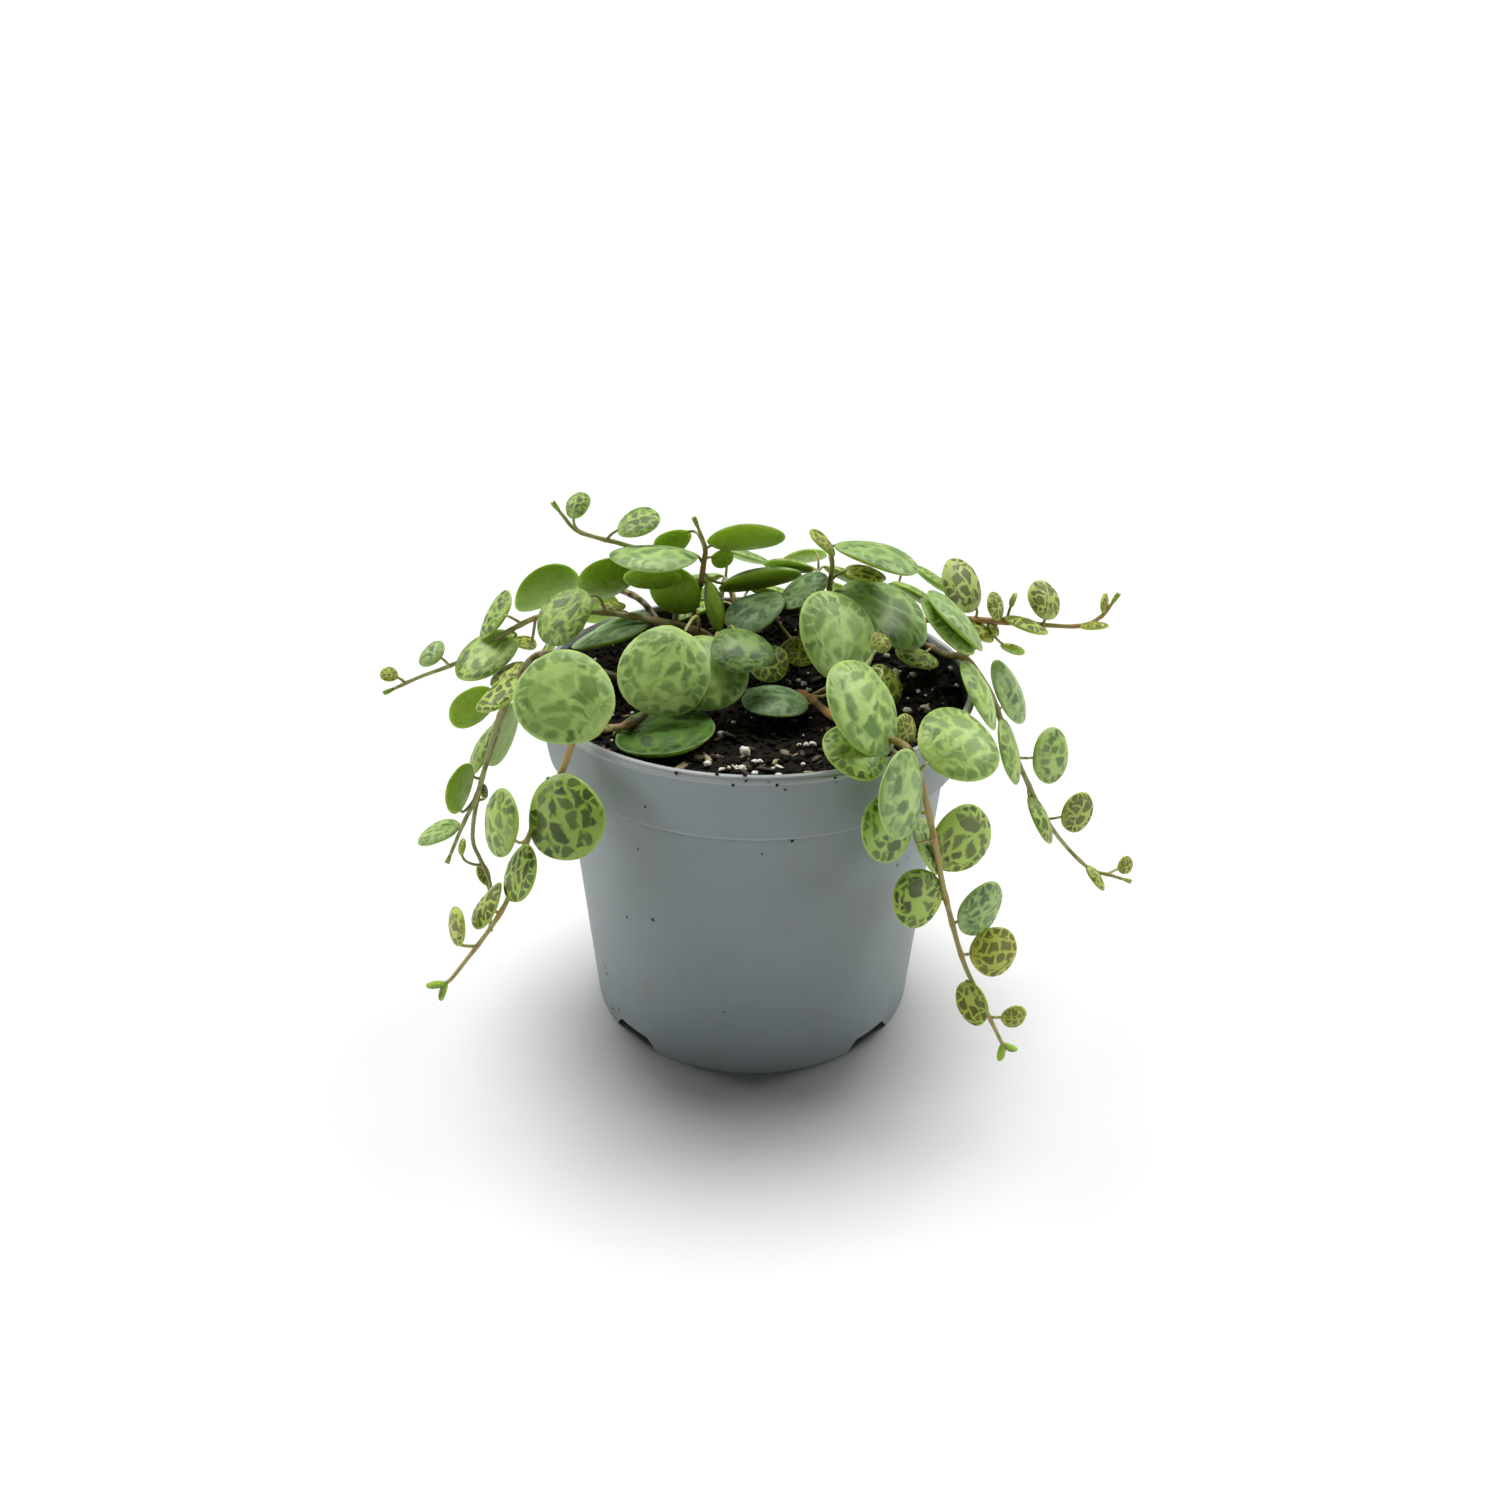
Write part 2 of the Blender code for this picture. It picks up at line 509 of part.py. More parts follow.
def hidden_leaves(name, plan):
    """Leaves by rule: they alternate along the stem, look outwards and up, and shrink towards the tip."""
    draw = random.Random(f"{SEED} {name}")
    curve = smooth_route(plan["route"])
    total = sum((b - a).length for a, b in zip(curve, curve[1:]))
    start = HIDDEN_START[name]
    count = round(total * (1 - start) / HIDDEN_SPACING)
    leaves = []
    for i in range(count):
        share = start + (0.97 - start) * i / max(1, count - 1)
        root = along(curve, share)
        length = HIDDEN_FIRST + (HIDDEN_LAST - HIDDEN_FIRST) * i / max(1, count - 1)
        outward = math.degrees(math.atan2(root.y, root.x))
        side = 1 if i % 2 else -1
        over_soil = root.z > RIM_CLEAR
        heading = outward + side * 36 + draw.uniform(-10, 10)
        rise = (62 if over_soil else 30) + draw.uniform(-8, 8)
        away = looking(outward + side * 55 + draw.uniform(-8, 8), 30 if over_soil else -20)
        middle = root + away * (length * 0.5 + 1.4) + looking(outward, 0) * 1.2
        leaves.append((share, *middle, heading, rise, length))
    return leaves


def whole_plan():
    """Every stem with its route and leaves: those shown, and those that the rule fills."""
    plans = {**SHOWN, **HIDDEN}
    stems = {name: dict(route=plan["route"], leaves=list(plan["leaves"])) for name, plan in plans.items()}
    for name in HIDDEN_START:
        stems[name]["leaves"] += hidden_leaves(name, stems[name])
    return stems


def build_stem(name, plan, parts, look):
    """One leafy stem, joined into a single closed body."""
    bench = collection(f"bodies of {name}")
    stem = grow_stem(name, plan, bench)
    bench.objects.unlink(stem)
    parts.objects.link(stem)
    join = stem.modifiers.new("Join", "BOOLEAN")
    join.operation = "UNION"
    join.operand_type = "COLLECTION"
    join.collection = bench
    settle(stem)
    drop(bench.objects)
    bpy.data.collections.remove(bench)
    stem.data.materials.clear()
    stem.data.materials.append(look)
    return stem


def main():
    drop(bpy.data.objects)
    parts = collection("potted peperomia")
    cutters = collection("cutters")
    stems = whole_plan()
    build_pot(parts, cutters)
    build_soil(parts, cutters, stems)
    foliage = material("leaf_green", (0.16, 0.27, 0.07), 0.45)
    for name, plan in stems.items():
        build_stem(name, plan, parts, foliage)


main()
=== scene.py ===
# %% [markdown]
# A small trailing peperomia in a plastic nursery pot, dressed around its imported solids. On the real plant
# every leaf is a thick round blade of about a centimetre, dark green between pale veins, on thin runners
# that hang over the rim. The solids already say where each leaf, stem, pot wall and soil edge lies. One could
# render them with better materials, but their leaves have ten sides at most, so each node gets a finer piece
# that keeps its place and its size. Lengths are millimetres here, and MM turns them into the frame's metres.

# %% The frame
import math
import random

import bmesh
import bpy
from mathutils import Matrix, Vector, noise


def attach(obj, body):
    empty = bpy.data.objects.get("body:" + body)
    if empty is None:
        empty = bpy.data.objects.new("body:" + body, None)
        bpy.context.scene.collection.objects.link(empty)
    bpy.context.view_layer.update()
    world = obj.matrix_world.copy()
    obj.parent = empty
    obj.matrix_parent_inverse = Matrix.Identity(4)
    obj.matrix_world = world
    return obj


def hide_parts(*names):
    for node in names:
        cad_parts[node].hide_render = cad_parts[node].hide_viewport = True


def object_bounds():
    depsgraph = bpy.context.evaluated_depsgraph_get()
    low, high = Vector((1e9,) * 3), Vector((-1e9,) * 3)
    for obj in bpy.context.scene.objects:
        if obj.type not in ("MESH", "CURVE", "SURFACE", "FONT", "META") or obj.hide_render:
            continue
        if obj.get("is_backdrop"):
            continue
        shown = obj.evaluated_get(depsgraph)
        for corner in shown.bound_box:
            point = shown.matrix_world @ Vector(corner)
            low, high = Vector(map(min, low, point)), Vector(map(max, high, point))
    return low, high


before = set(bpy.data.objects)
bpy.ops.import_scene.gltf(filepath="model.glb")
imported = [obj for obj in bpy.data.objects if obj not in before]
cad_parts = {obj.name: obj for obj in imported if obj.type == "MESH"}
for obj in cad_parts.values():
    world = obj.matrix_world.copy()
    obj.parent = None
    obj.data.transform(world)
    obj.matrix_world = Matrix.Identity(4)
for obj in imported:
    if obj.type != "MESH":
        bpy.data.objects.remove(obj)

CAD_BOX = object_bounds()
BODY = "root"
MM = 0.001
print("nodes:", ", ".join(sorted(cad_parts)))

# %% [markdown]
# The photograph looks down on the plant from the front. Its camera could be guessed by eye, but the pot is a
# good ruler: rim, band, foot and notches are circles of known size, so their outlines give the distance, the
# angle and the focal length. The camera comes first, because some grains on the soil are placed by where the
# photograph shows them.

# %% The camera
PHOTO_SIDE = 1512                      # pixels
FOCAL_PIXELS = 1166.6
SENSOR_WIDTH = 36
CAMERA_AIM = (0, 0, 25.6)
CAMERA_DISTANCE = 184.9
CAMERA_RISE = 32.03                    # degrees, as are the three below
CAMERA_YAW, CAMERA_PITCH, CAMERA_ROLL = -0.08, 3.96, 0.55


def turn_about(axis, degrees):
    """A turn about one of the main axes."""
    return Matrix.Rotation(math.radians(degrees), 4, axis)


looking_in = turn_about("X", 90 - CAMERA_RISE)
lens = bpy.data.cameras.new("photo_camera")
lens.sensor_width = SENSOR_WIDTH
lens.lens = FOCAL_PIXELS / PHOTO_SIDE * SENSOR_WIDTH
lens.clip_start = MM
camera = bpy.data.objects.new("photo_camera", lens)
camera_place = Vector(CAMERA_AIM) + looking_in @ Vector((0, 0, CAMERA_DISTANCE))
camera_turn = (looking_in @ turn_about("Y", CAMERA_YAW) @ turn_about("X", CAMERA_PITCH)
               @ turn_about("Z", CAMERA_ROLL))
camera.matrix_world = Matrix.Translation(camera_place * MM) @ camera_turn
bpy.context.scene.collection.objects.link(camera)
bpy.context.scene.camera = camera
print("camera at", [round(c) for c in camera_place], "mm with a lens of", round(lens.lens, 1), "mm")


def pixel_ray(px, py):
    """The way from the camera to what a pixel of the photograph shows."""
    return camera_turn @ Vector((px - PHOTO_SIDE / 2, PHOTO_SIDE / 2 - py, -FOCAL_PIXELS))


def seen_at(px, py, height):
    """The place at a height that a pixel of the photograph shows."""
    ray = pixel_ray(px, py)
    return camera_place + ray * (height - camera_place.z) / ray.z


# %% [markdown]
# Shader maths reads best as plain expressions. A node tree could be wired by hand, with a line for each node
# and each link, but then the pattern of a leaf is lost among the wires. So a small class stands for a socket:
# adding two of them adds a Math node. Everything else comes from one method that makes any node.

# %% Writing a material
def colour(red, green, blue):
    """A screen colour, 0 to 255, as the linear values that a shader wants."""
    return tuple(((c / 255 + 0.055) / 1.055) ** 2.4 for c in (red, green, blue)) + (1,)


class Shade:
    """A value in a shader. Sums and products of shades are worked out at each point of the surface."""

    def __init__(self, look, socket):
        self.look = look
        self.socket = socket

    def __add__(self, other):
        return self.look.maths("ADD", self, other)

    def __radd__(self, other):
        return self.look.maths("ADD", other, self)

    def __sub__(self, other):
        return self.look.maths("SUBTRACT", self, other)

    def __rsub__(self, other):
        return self.look.maths("SUBTRACT", other, self)

    def __mul__(self, other):
        return self.look.maths("MULTIPLY", self, other)

    def __rmul__(self, other):
        return self.look.maths("MULTIPLY", other, self)


class Look:
    """A material while it is written. What is the same all over is given first, for the shader itself."""

    def __init__(self, name, constants):
        self.material = bpy.data.materials.new(name)
        self.material.use_nodes = True
        self.tree = self.material.node_tree
        self.shader = self.tree.nodes["Principled BSDF"]
        for socket, value in constants.items():
            self.shader.inputs[socket].default_value = value

    def feed(self, socket, value):
        """Links a shade to a socket, or sets the socket to a plain value."""
        if isinstance(value, Shade):
            self.tree.links.new(value.socket, socket)
        else:
            socket.default_value = value

    def node(self, kind, settings, inputs, output=0):
        """Adds a node: its settings first, then what goes into its sockets, by name or by number."""
        made = self.tree.nodes.new("ShaderNode" + kind)
        for name, value in settings.items():
            setattr(made, name, value)
        for name, value in inputs.items():
            self.feed(made.inputs[name], value)
        return Shade(self, made.outputs[output])

    def maths(self, operation, *values):
        return self.node("Math", {"operation": operation}, dict(enumerate(values)))

    def vectors(self, operation, *values):
        return self.node("VectorMath", {"operation": operation}, dict(enumerate(values)))

    def attribute(self, name, output="Fac"):
        return self.node("Attribute", {"attribute_name": name}, {}, output)

    def place(self):
        """The point's place on the object, in millimetres."""
        point = self.node("TexCoord", {}, {}, "Object")
        return self.vectors("DIVIDE", point, (MM, MM, MM))

    def split(self, vector):
        return [self.node("SeparateXYZ", {}, {"Vector": vector}, axis) for axis in "XYZ"]

    def joined(self, x, y=0, z=0):
        return self.node("CombineXYZ", {}, {"X": x, "Y": y, "Z": z})

    def step(self, value, none, full):
        """0 up to one value, 1 from the other on, and smooth between. Full may be the smaller one."""
        return self.node("MapRange", {"interpolation_type": "SMOOTHSTEP"},
                         {"Value": value, "From Min": none, "From Max": full})

    def clouds(self, vector, scale, detail=2):
        """Smooth noise, 0 to 1 and mostly near a half."""
        return self.node("TexNoise", {}, {"Vector": vector, "Scale": scale, "Detail": detail}, "Fac")

    def strayed(self, vector, where, scale, amount):
        """A vector that noise has moved a little, by an amount that depends on where."""
        stray = self.node("TexNoise", {}, {"Vector": where, "Scale": scale, "Detail": 2}, "Color")
        stray = self.vectors("SUBTRACT", stray, (0.5, 0.5, 0.5))
        return self.vectors("MULTIPLY_ADD", stray, (amount, amount, amount), vector)

    def cells(self, settings, inputs, output="Distance"):
        """Voronoi cells, which look like cracks, spots or the fields between veins."""
        return self.node("TexVoronoi", settings, inputs, output)

    def mixed(self, share, first, second):
        """Two colours mixed by a share of the second."""
        return self.node("Mix", {"data_type": "RGBA"}, {0: share, 6: first, 7: second}, 2)

    def bump(self, height, depth):
        """A normal from a height of 0 to 1, which stands for a depth in millimetres."""
        return self.node("Bump", {}, {"Height": height, "Distance": depth * MM})

    def finish(self, sockets):
        """Links what changes over the surface, and gives the material."""
        for socket, value in sockets.items():
            self.feed(self.shader.inputs[socket], value)
        print("material", self.material.name, "has", len(self.tree.nodes), "nodes")
        return self.material


# %% [markdown]
# Every piece ends in the same way: its faces point outwards, it is shaded smooth, it rides on the body, and
# the solid that it stands for is hidden. Its object stays at the origin, so its place is in its mesh. This
# could stand behind each piece, but a helper says it once, and prints how many triangles the piece costs. Two
# collections, of the whole plant and of the pot with its peat, tell the lamps what to light and what shades
# them.

# %% Handing a finished piece over
PLANT = bpy.data.collections.new("plant")
POT_ALONE = bpy.data.collections.new("pot_alone")


def placed(name, bm):
    """Makes a bmesh an object at the origin."""
    mesh = bpy.data.meshes.new(name)
    bm.to_mesh(mesh)
    bm.free()
    made = bpy.data.objects.new(name, mesh)
    bpy.context.scene.collection.objects.link(made)
    return made


def hand_over(name, bm, looks, slot, node=None, sharp_from=None):
    """Makes a bmesh a finished piece. Edges sharper than sharp_from degrees keep their crease."""
    bmesh.ops.recalc_face_normals(bm, faces=bm.faces)
    for face in bm.faces:
        face.smooth = True
    bmesh.ops.scale(bm, vec=(MM, MM, MM), verts=bm.verts)
    piece = placed(name, bm)
    for look in looks:
        piece.data.materials.append(look)
    if sharp_from:
        piece.data.set_sharp_from_angle(angle=math.radians(sharp_from))
    PLANT.objects.link(piece)
    if slot != "foliage":
        POT_ALONE.objects.link(piece)
    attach(piece, BODY)
    if node:
        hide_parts(node)
    piece.data.calc_loop_triangles()
    print(name, "has", len(piece.data.loop_triangles), "triangles")


# %% [markdown]
# A bmesh operator looks through its whole mesh, so a thousand small calls on one growing mesh get slower and
# slower. Each small shape is therefore made on a bench of its own, and then poured into the mesh that
# collects them. Its attributes are poured along with it, by their names.

# %% Pouring a small mesh into a large one
def pour(heap, bench):
    """Adds one bmesh to another, and frees it."""
    batch = bpy.data.meshes.new("batch")
    bench.to_mesh(batch)
    bench.free()
    heap.from_mesh(batch)
    bpy.data.meshes.remove(batch)


# %% [markdown]
# The pot is moulded from one thin sheet of plastic: a tapering wall, a wider band under the rim, a rounded
# lip, and a skirt below the floor that stands on the table. Its sizes could be copied from the solid's faces,
# but the few that drive it say more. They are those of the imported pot, with the fine bead and groove of the
# lip added. One function gives the inner radius at any height, because the peat has to fit the same wall.

# %% The pot's sizes
RIM_RADIUS = 32.0
POT_HEIGHT = 54.0
WALL = 0.9
LIP_WIDTH = 1.0
LIP_TOP = 0.4                          # how far the top stands over the bead that runs round the rim
BEAD_HEIGHT = 0.6
BEAD_PROUD = 0.28
BEAD_SLOPE = 0.1
CORNER_ROUND = 0.12
GAP = 0.3                              # between the pot and the peat
BAND_HEIGHT = 9.8
BAND_FOOT_RADIUS = 30.7
WALL_TOP_RADIUS = 28.8
FOOT_RADIUS = 25.6
FOOT_WIDTH = 2.4
FLOOR_RISE = 2.4
PAD_RADIUS = 5.0
NOTCH_HEIGHT = 2.1
NOTCH_HALF_BOTTOM = 4.9
NOTCH_HALF_TOP = 3.1
NOTCH_ROUND = 0.5
DRAIN_RADIUS = 2.2
DRAIN_CIRCLE = 14.0
DRAINS = 6
POT_STEPS = 180
LEDGE = POT_HEIGHT - BAND_HEIGHT
UNDER_LEDGE = LEDGE - 0.01             # just below the height where the radius jumps


def inner_radius(z):
    """The pot's inner radius at a height: a tapering wall, a ledge and the wider rim band."""
    if z < LEDGE:
        return FOOT_RADIUS + (WALL_TOP_RADIUS - FOOT_RADIUS) * z / LEDGE - WALL
    return BAND_FOOT_RADIUS + (RIM_RADIUS - BAND_FOOT_RADIUS) * (z - LEDGE) / BAND_HEIGHT - WALL


print("inner radius from", round(inner_radius(0), 1), "to", round(inner_radius(POT_HEIGHT), 1), "mm")

# %% [markdown]
# A turned shape could be a profile with a Screw modifier. Here one outline, drawn on one side of the axis, is
# spun once round as on a lathe, because the mesh is then at hand for the cuts that follow. The corners of the
# outline are rounded before the spin: there a corner is one point, and afterwards it is a ring of edges.

# %% Spinning an outline
def spun(outline, steps, rounding=0):
    """Turns an outline of (radius, height) points once round Z, with its corners rounded first."""
    bm = bmesh.new()
    points = [bm.verts.new((r, 0, z)) for r, z in outline]
    for a, b in zip(points, points[1:]):
        bm.edges.new((a, b))
    if rounding:
        bmesh.ops.bevel(bm, geom=points[1:-1], offset=rounding, segments=3, affect="VERTICES",
                        profile=0.5, material=-1, clamp_overlap=True)
    bmesh.ops.spin(bm, geom=bm.verts[:] + bm.edges[:], cent=(0, 0, 0), axis=(0, 0, 1), angle=math.tau,
                   steps=steps, use_merge=True)
    bmesh.ops.remove_doubles(bm, verts=bm.verts, dist=0.001)
    bmesh.ops.recalc_face_normals(bm, faces=bm.faces)
    return bm


floor_top = FLOOR_RISE + WALL
bead_foot = POT_HEIGHT - LIP_TOP - BEAD_HEIGHT
pot_outline = [(0, floor_top),
               (inner_radius(floor_top), floor_top),
               (inner_radius(UNDER_LEDGE), LEDGE + WALL),
               (inner_radius(LEDGE + WALL), LEDGE + WALL),
               (RIM_RADIUS - LIP_WIDTH, POT_HEIGHT),
               (RIM_RADIUS - BEAD_PROUD, POT_HEIGHT),
               (RIM_RADIUS - BEAD_PROUD, POT_HEIGHT - LIP_TOP),
               (RIM_RADIUS, POT_HEIGHT - LIP_TOP - BEAD_SLOPE),
               (RIM_RADIUS, bead_foot),
               (inner_radius(bead_foot) + WALL - BEAD_SLOPE, bead_foot - 1.5 * BEAD_SLOPE),
               (BAND_FOOT_RADIUS, LEDGE),
               (WALL_TOP_RADIUS, LEDGE),
               (FOOT_RADIUS, 0),
               (FOOT_RADIUS - FOOT_WIDTH, 0),
               (FOOT_RADIUS - FOOT_WIDTH, FLOOR_RISE),
               (PAD_RADIUS, FLOOR_RISE),
               (PAD_RADIUS, 0),
               (0, 0)]
pot_bm = spun(pot_outline, POT_STEPS, CORNER_ROUND)
print("pot spun with", len(pot_bm.faces), "faces")

# %% [markdown]
# The skirt has four notches, so that water can run out from under the pot, and the floor has drain holes.
# They could be modelled into the outline's faces, but a mould cuts them straight through, and so does a
# Boolean with simple blocks. The blocks are removed once the cut is applied.

# %% Notches and drain holes
BLOCK_FOOT = -0.7                      # the block goes through the foot, and is a little wider there
BLOCK_FLARE = 1.06
BLOCK_INSIDE, BLOCK_OUTSIDE = FOOT_RADIUS - FOOT_WIDTH - 1, FOOT_RADIUS + 2
ROD_LENGTH = 4.0


def notch_block(turn):
    """A block through the skirt, wider at the bottom and with its corners rounded."""
    bm = bmesh.new()
    bmesh.ops.create_cube(bm, size=1)
    for v in bm.verts:
        half = NOTCH_HALF_TOP if v.co.z > 0 else NOTCH_HALF_BOTTOM * BLOCK_FLARE
        reach = BLOCK_OUTSIDE if v.co.x > 0 else BLOCK_INSIDE
        v.co = Vector((reach, math.copysign(half, v.co.y), NOTCH_HEIGHT if v.co.z > 0 else BLOCK_FOOT))
    corners = [e for e in bm.edges
               if all(v.co.z > 0 for v in e.verts) and e.verts[0].co.y * e.verts[1].co.y > 0]
    bmesh.ops.bevel(bm, geom=corners, offset=NOTCH_ROUND, segments=3, affect="EDGES", profile=0.5,
                    material=-1)
    bmesh.ops.rotate(bm, cent=(0, 0, 0), matrix=Matrix.Rotation(turn, 3, "Z"), verts=bm.verts)
    return bm


def drain_rod(turn):
    """A rod through the floor."""
    bm = bmesh.new()
    bmesh.ops.create_cone(bm, cap_ends=True, segments=32, radius1=DRAIN_RADIUS, radius2=DRAIN_RADIUS,
                          depth=ROD_LENGTH)
    bmesh.ops.translate(bm, vec=(math.cos(turn) * DRAIN_CIRCLE, math.sin(turn) * DRAIN_CIRCLE, floor_top),
                        verts=bm.verts)
    return bm


def cut_away(bm, blocks):
    """The solid less the blocks, as a new bmesh."""
    body = placed("uncut", bm)
    cutters = [placed(f"cutter_{i}", block) for i, block in enumerate(blocks)]
    for cutter in cutters:
        cut = body.modifiers.new(cutter.name, "BOOLEAN")
        cut.operation = "DIFFERENCE"
        cut.object = cutter
    bpy.context.view_layer.update()
    done = bmesh.new()
    done.from_mesh(body.evaluated_get(bpy.context.evaluated_depsgraph_get()).to_mesh())
    for helper in [body, *cutters]:
        bpy.data.objects.remove(helper)
    return done


quarters = [math.radians(45 + 90 * i) for i in range(4)]
pot_bm = cut_away(pot_bm, [notch_block(turn) for turn in quarters]
                  + [drain_rod(math.tau * i / DRAINS) for i in range(DRAINS)])
print("pot cut with", len(pot_bm.faces), "faces")

# %% [markdown]
# Blue-grey recycled plastic is matt, a little cloudy, and never clean: the lip and the band's edge are pale,
# partly worn and partly painted highlight, painted shade in patches lies under the band, the inner wall is
# darkened nearly black under the rim, and a few dark specks dot the outer one. A flat grey would look like
# paper, and a painted picture would blur close up. So steps over the height draw the first three, clouds of
# noise shift brightness and gloss a little, and specks are the middles of Voronoi cells, kept only where a
# second noise allows them.

# %% The pot's plastic
def pot_plastic():
    look = Look("blue_grey_plastic", {"Specular IOR Level": 0.4})
    place = look.place()
    x, y, height = look.split(place)
    clouds = look.clouds(place, 0.06, 3)
    grain = look.clouds(place, 4, 3)
    skin = look.mixed(clouds, colour(121, 130, 132), colour(130, 139, 141))
    # The lip and the band's lower edge are painted pale: partly wear, partly painted highlight where light
    # catches the edges.
    worn_and_highlit = look.step(height, POT_HEIGHT - 1.15, POT_HEIGHT - 0.9)
    worn_and_highlit = worn_and_highlit + 0.5 * look.step(height, POT_HEIGHT - 0.5, POT_HEIGHT)
    burr_highlight = look.step(height, LEDGE + 0.45, LEDGE + 0.1) * look.step(height, LEDGE - 0.3, LEDGE)
    skin = look.mixed(worn_and_highlit * 0.4 + burr_highlight * 0.3, skin, colour(178, 179, 177))
    # Painted shade just under the band's overhang, stronger in noisy patches.
    shade_under_band = look.step(height, LEDGE - 2.1, LEDGE - 1.2) * look.step(height, LEDGE, LEDGE - 0.3)
    patches = look.step(look.clouds(place, 0.5, 3), 0.55, 0.7)
    skin = look.mixed(shade_under_band * (0.15 + 0.5 * patches), skin, colour(72, 76, 76))
    outer = BAND_FOOT_RADIUS + (RIM_RADIUS - BAND_FOOT_RADIUS) / BAND_HEIGHT * (height - LEDGE)
    inside = look.step(look.maths("SQRT", x * x + y * y) - outer, -0.5 * WALL, -0.8 * WALL)
    inside = inside * look.step(height, LEDGE + 0.5, LEDGE + 1.5)
    # The inner wall of the band is darkened nearly black, from just under the rim down to the ledge.
    darkened_under_rim = look.step(height + 1.2 * look.clouds(place, 0.35, 4), POT_HEIGHT + 0.1, POT_HEIGHT - 0.4)
    skin = look.mixed(inside * darkened_under_rim * 0.96, skin, colour(20, 17, 12))
    middles = look.cells({}, {"Vector": place, "Scale": 0.3, "Randomness": 1})
    allowed = look.clouds(place, 0.21, 1)
    near_rim = look.step(height, LEDGE, POT_HEIGHT) * 0.10
    specks = look.step(middles, 0.13, 0.06) * look.step(allowed + near_rim, 0.58, 0.66)
    dusty = look.clouds(place, 0.9, 4) * look.step(look.clouds(place, 0.16, 2), 0.5, 0.75)
    skin = look.mixed(dusty * 0.3, skin, colour(112, 112, 104))
    skin = look.mixed(specks, skin, colour(48, 44, 38))
    return look.finish({"Base Color": skin, "Roughness": 0.40 + 0.16 * clouds + 0.3 * specks,
                        "Normal": look.bump(grain + 2 * specks, 0.02)})


hand_over("nursery_pot", pot_bm, [pot_plastic()], "pot_plastic", "pot", sharp_from=40)

# %% [markdown]
# Peat is not a smooth lid: it is a lumpy bed of fibres, with bark chips and white perlite lying in it. A bump
# on a flat disc would look flat from the side. So the bed is a spun disc with many rings, raised by four
# sizes of noise, and it keeps the solid's sides. What lies on it is modelled grain by grain, because light
# catches the edges of real grains, which no bump can do.

# %% The peat bed
SOIL_LEVEL = 50.6
SOIL_LUMP = 0.6
SOIL_GRAIN = 5.0
HEAP = 1.0                    # how much higher the peat lies at the pot's back wall
HEAP_START = 20.0
SOIL_STEPS = 240
SOIL_RING_COUNT = 56
soil_rim = inner_radius(SOIL_LEVEL) - GAP


def soil_top(x, y):
    """Height of the peat at a place: the lumps of the solid, and finer ones on them."""
    def lump(scale, layer):
        return noise.noise(Vector((x / scale, y / scale, layer)))
    coarse = SOIL_LUMP * (lump(SOIL_GRAIN, 3.7) + 0.5 * lump(SOIL_GRAIN / 2.4, 9.1))
    edge = min(1, max(0, (math.hypot(x, y) - HEAP_START) / (soil_rim - HEAP_START)))
    coarse += HEAP * edge * edge * (1 if y > 0 else 0.4)
    return SOIL_LEVEL + coarse + 0.45 * lump(1.3, 5.2) + 0.25 * lump(0.6, 8.4)


bottom = floor_top + GAP
below_ledge = inner_radius(UNDER_LEDGE) - GAP
soil_outline = [(soil_rim * i / SOIL_RING_COUNT, SOIL_LEVEL) for i in range(SOIL_RING_COUNT)]
soil_outline += [(soil_rim, SOIL_LEVEL - 0.4),
                 (inner_radius(LEDGE + WALL) - GAP - 0.2, LEDGE + WALL + GAP),
                 (below_ledge, LEDGE + WALL + GAP),
                 (inner_radius(bottom + 1) - GAP - 0.6, bottom + 0.6),
                 (inner_radius(bottom) - GAP - 1.6, bottom),
                 (0, bottom)]
soil_bm = spun(soil_outline, SOIL_STEPS)
surface = [v for v in soil_bm.verts if v.co.z > SOIL_LEVEL - 0.1]
for v in surface:
    v.co.z = soil_top(v.co.x, v.co.y)
print("peat from", round(min(v.co.z for v in surface), 1), "to", round(max(v.co.z for v in surface), 1), "mm")

# %% [markdown]
# Wet peat is nearly black, bark shows its fibres, and perlite is a white foam of glass, stained where peat
# touches it. One brown for all of them would look like mud, and pictures of each would need unwrapping. So
# noise mixes the colours of each and raises its bump, and a bark chip also reads its own tone, from dark to
# pale wood, from an attribute of the mesh.

# %% Peat, bark and perlite finishes
def peat():
    look = Look("dark_peat", {"Specular IOR Level": 0.12})
    place = look.place()
    coarse = look.clouds(place, 0.5, 4)
    fine = look.clouds(place, 3.2, 4)
    damp = look.mixed(look.step(coarse, 0.35, 0.7), colour(15, 13, 9), colour(30, 24, 16))
    damp = look.mixed(look.step(fine, 0.52, 0.78), damp, colour(46, 37, 25))
    return look.finish({"Base Color": damp, "Roughness": 0.6 + 0.4 * fine,
                        "Normal": look.bump(fine + coarse, 0.25)})


def bark():
    look = Look("bark_chips", {"Specular IOR Level": 0.4})
    place = look.place()
    tone = look.attribute("grain_tone")
    fibre = look.clouds(look.vectors("MULTIPLY", place, (1, 3, 5)), 1.6, 4)
    dark = look.mixed(look.step(tone, 0.0, 0.5), colour(30, 24, 17), colour(74, 57, 38))
    wood = look.mixed(look.step(tone, 0.5, 1.0), dark, colour(182, 166, 130))
    wood = look.mixed(look.step(tone, 1.0, 1.6), wood, colour(226, 221, 202))
    wood = look.mixed(look.step(fibre, 0.45, 0.7) * 0.4, wood, colour(54, 42, 28))
    return look.finish({"Base Color": wood, "Roughness": 0.5 + 0.4 * fibre,
                        "Normal": look.bump(fibre, 0.12)})


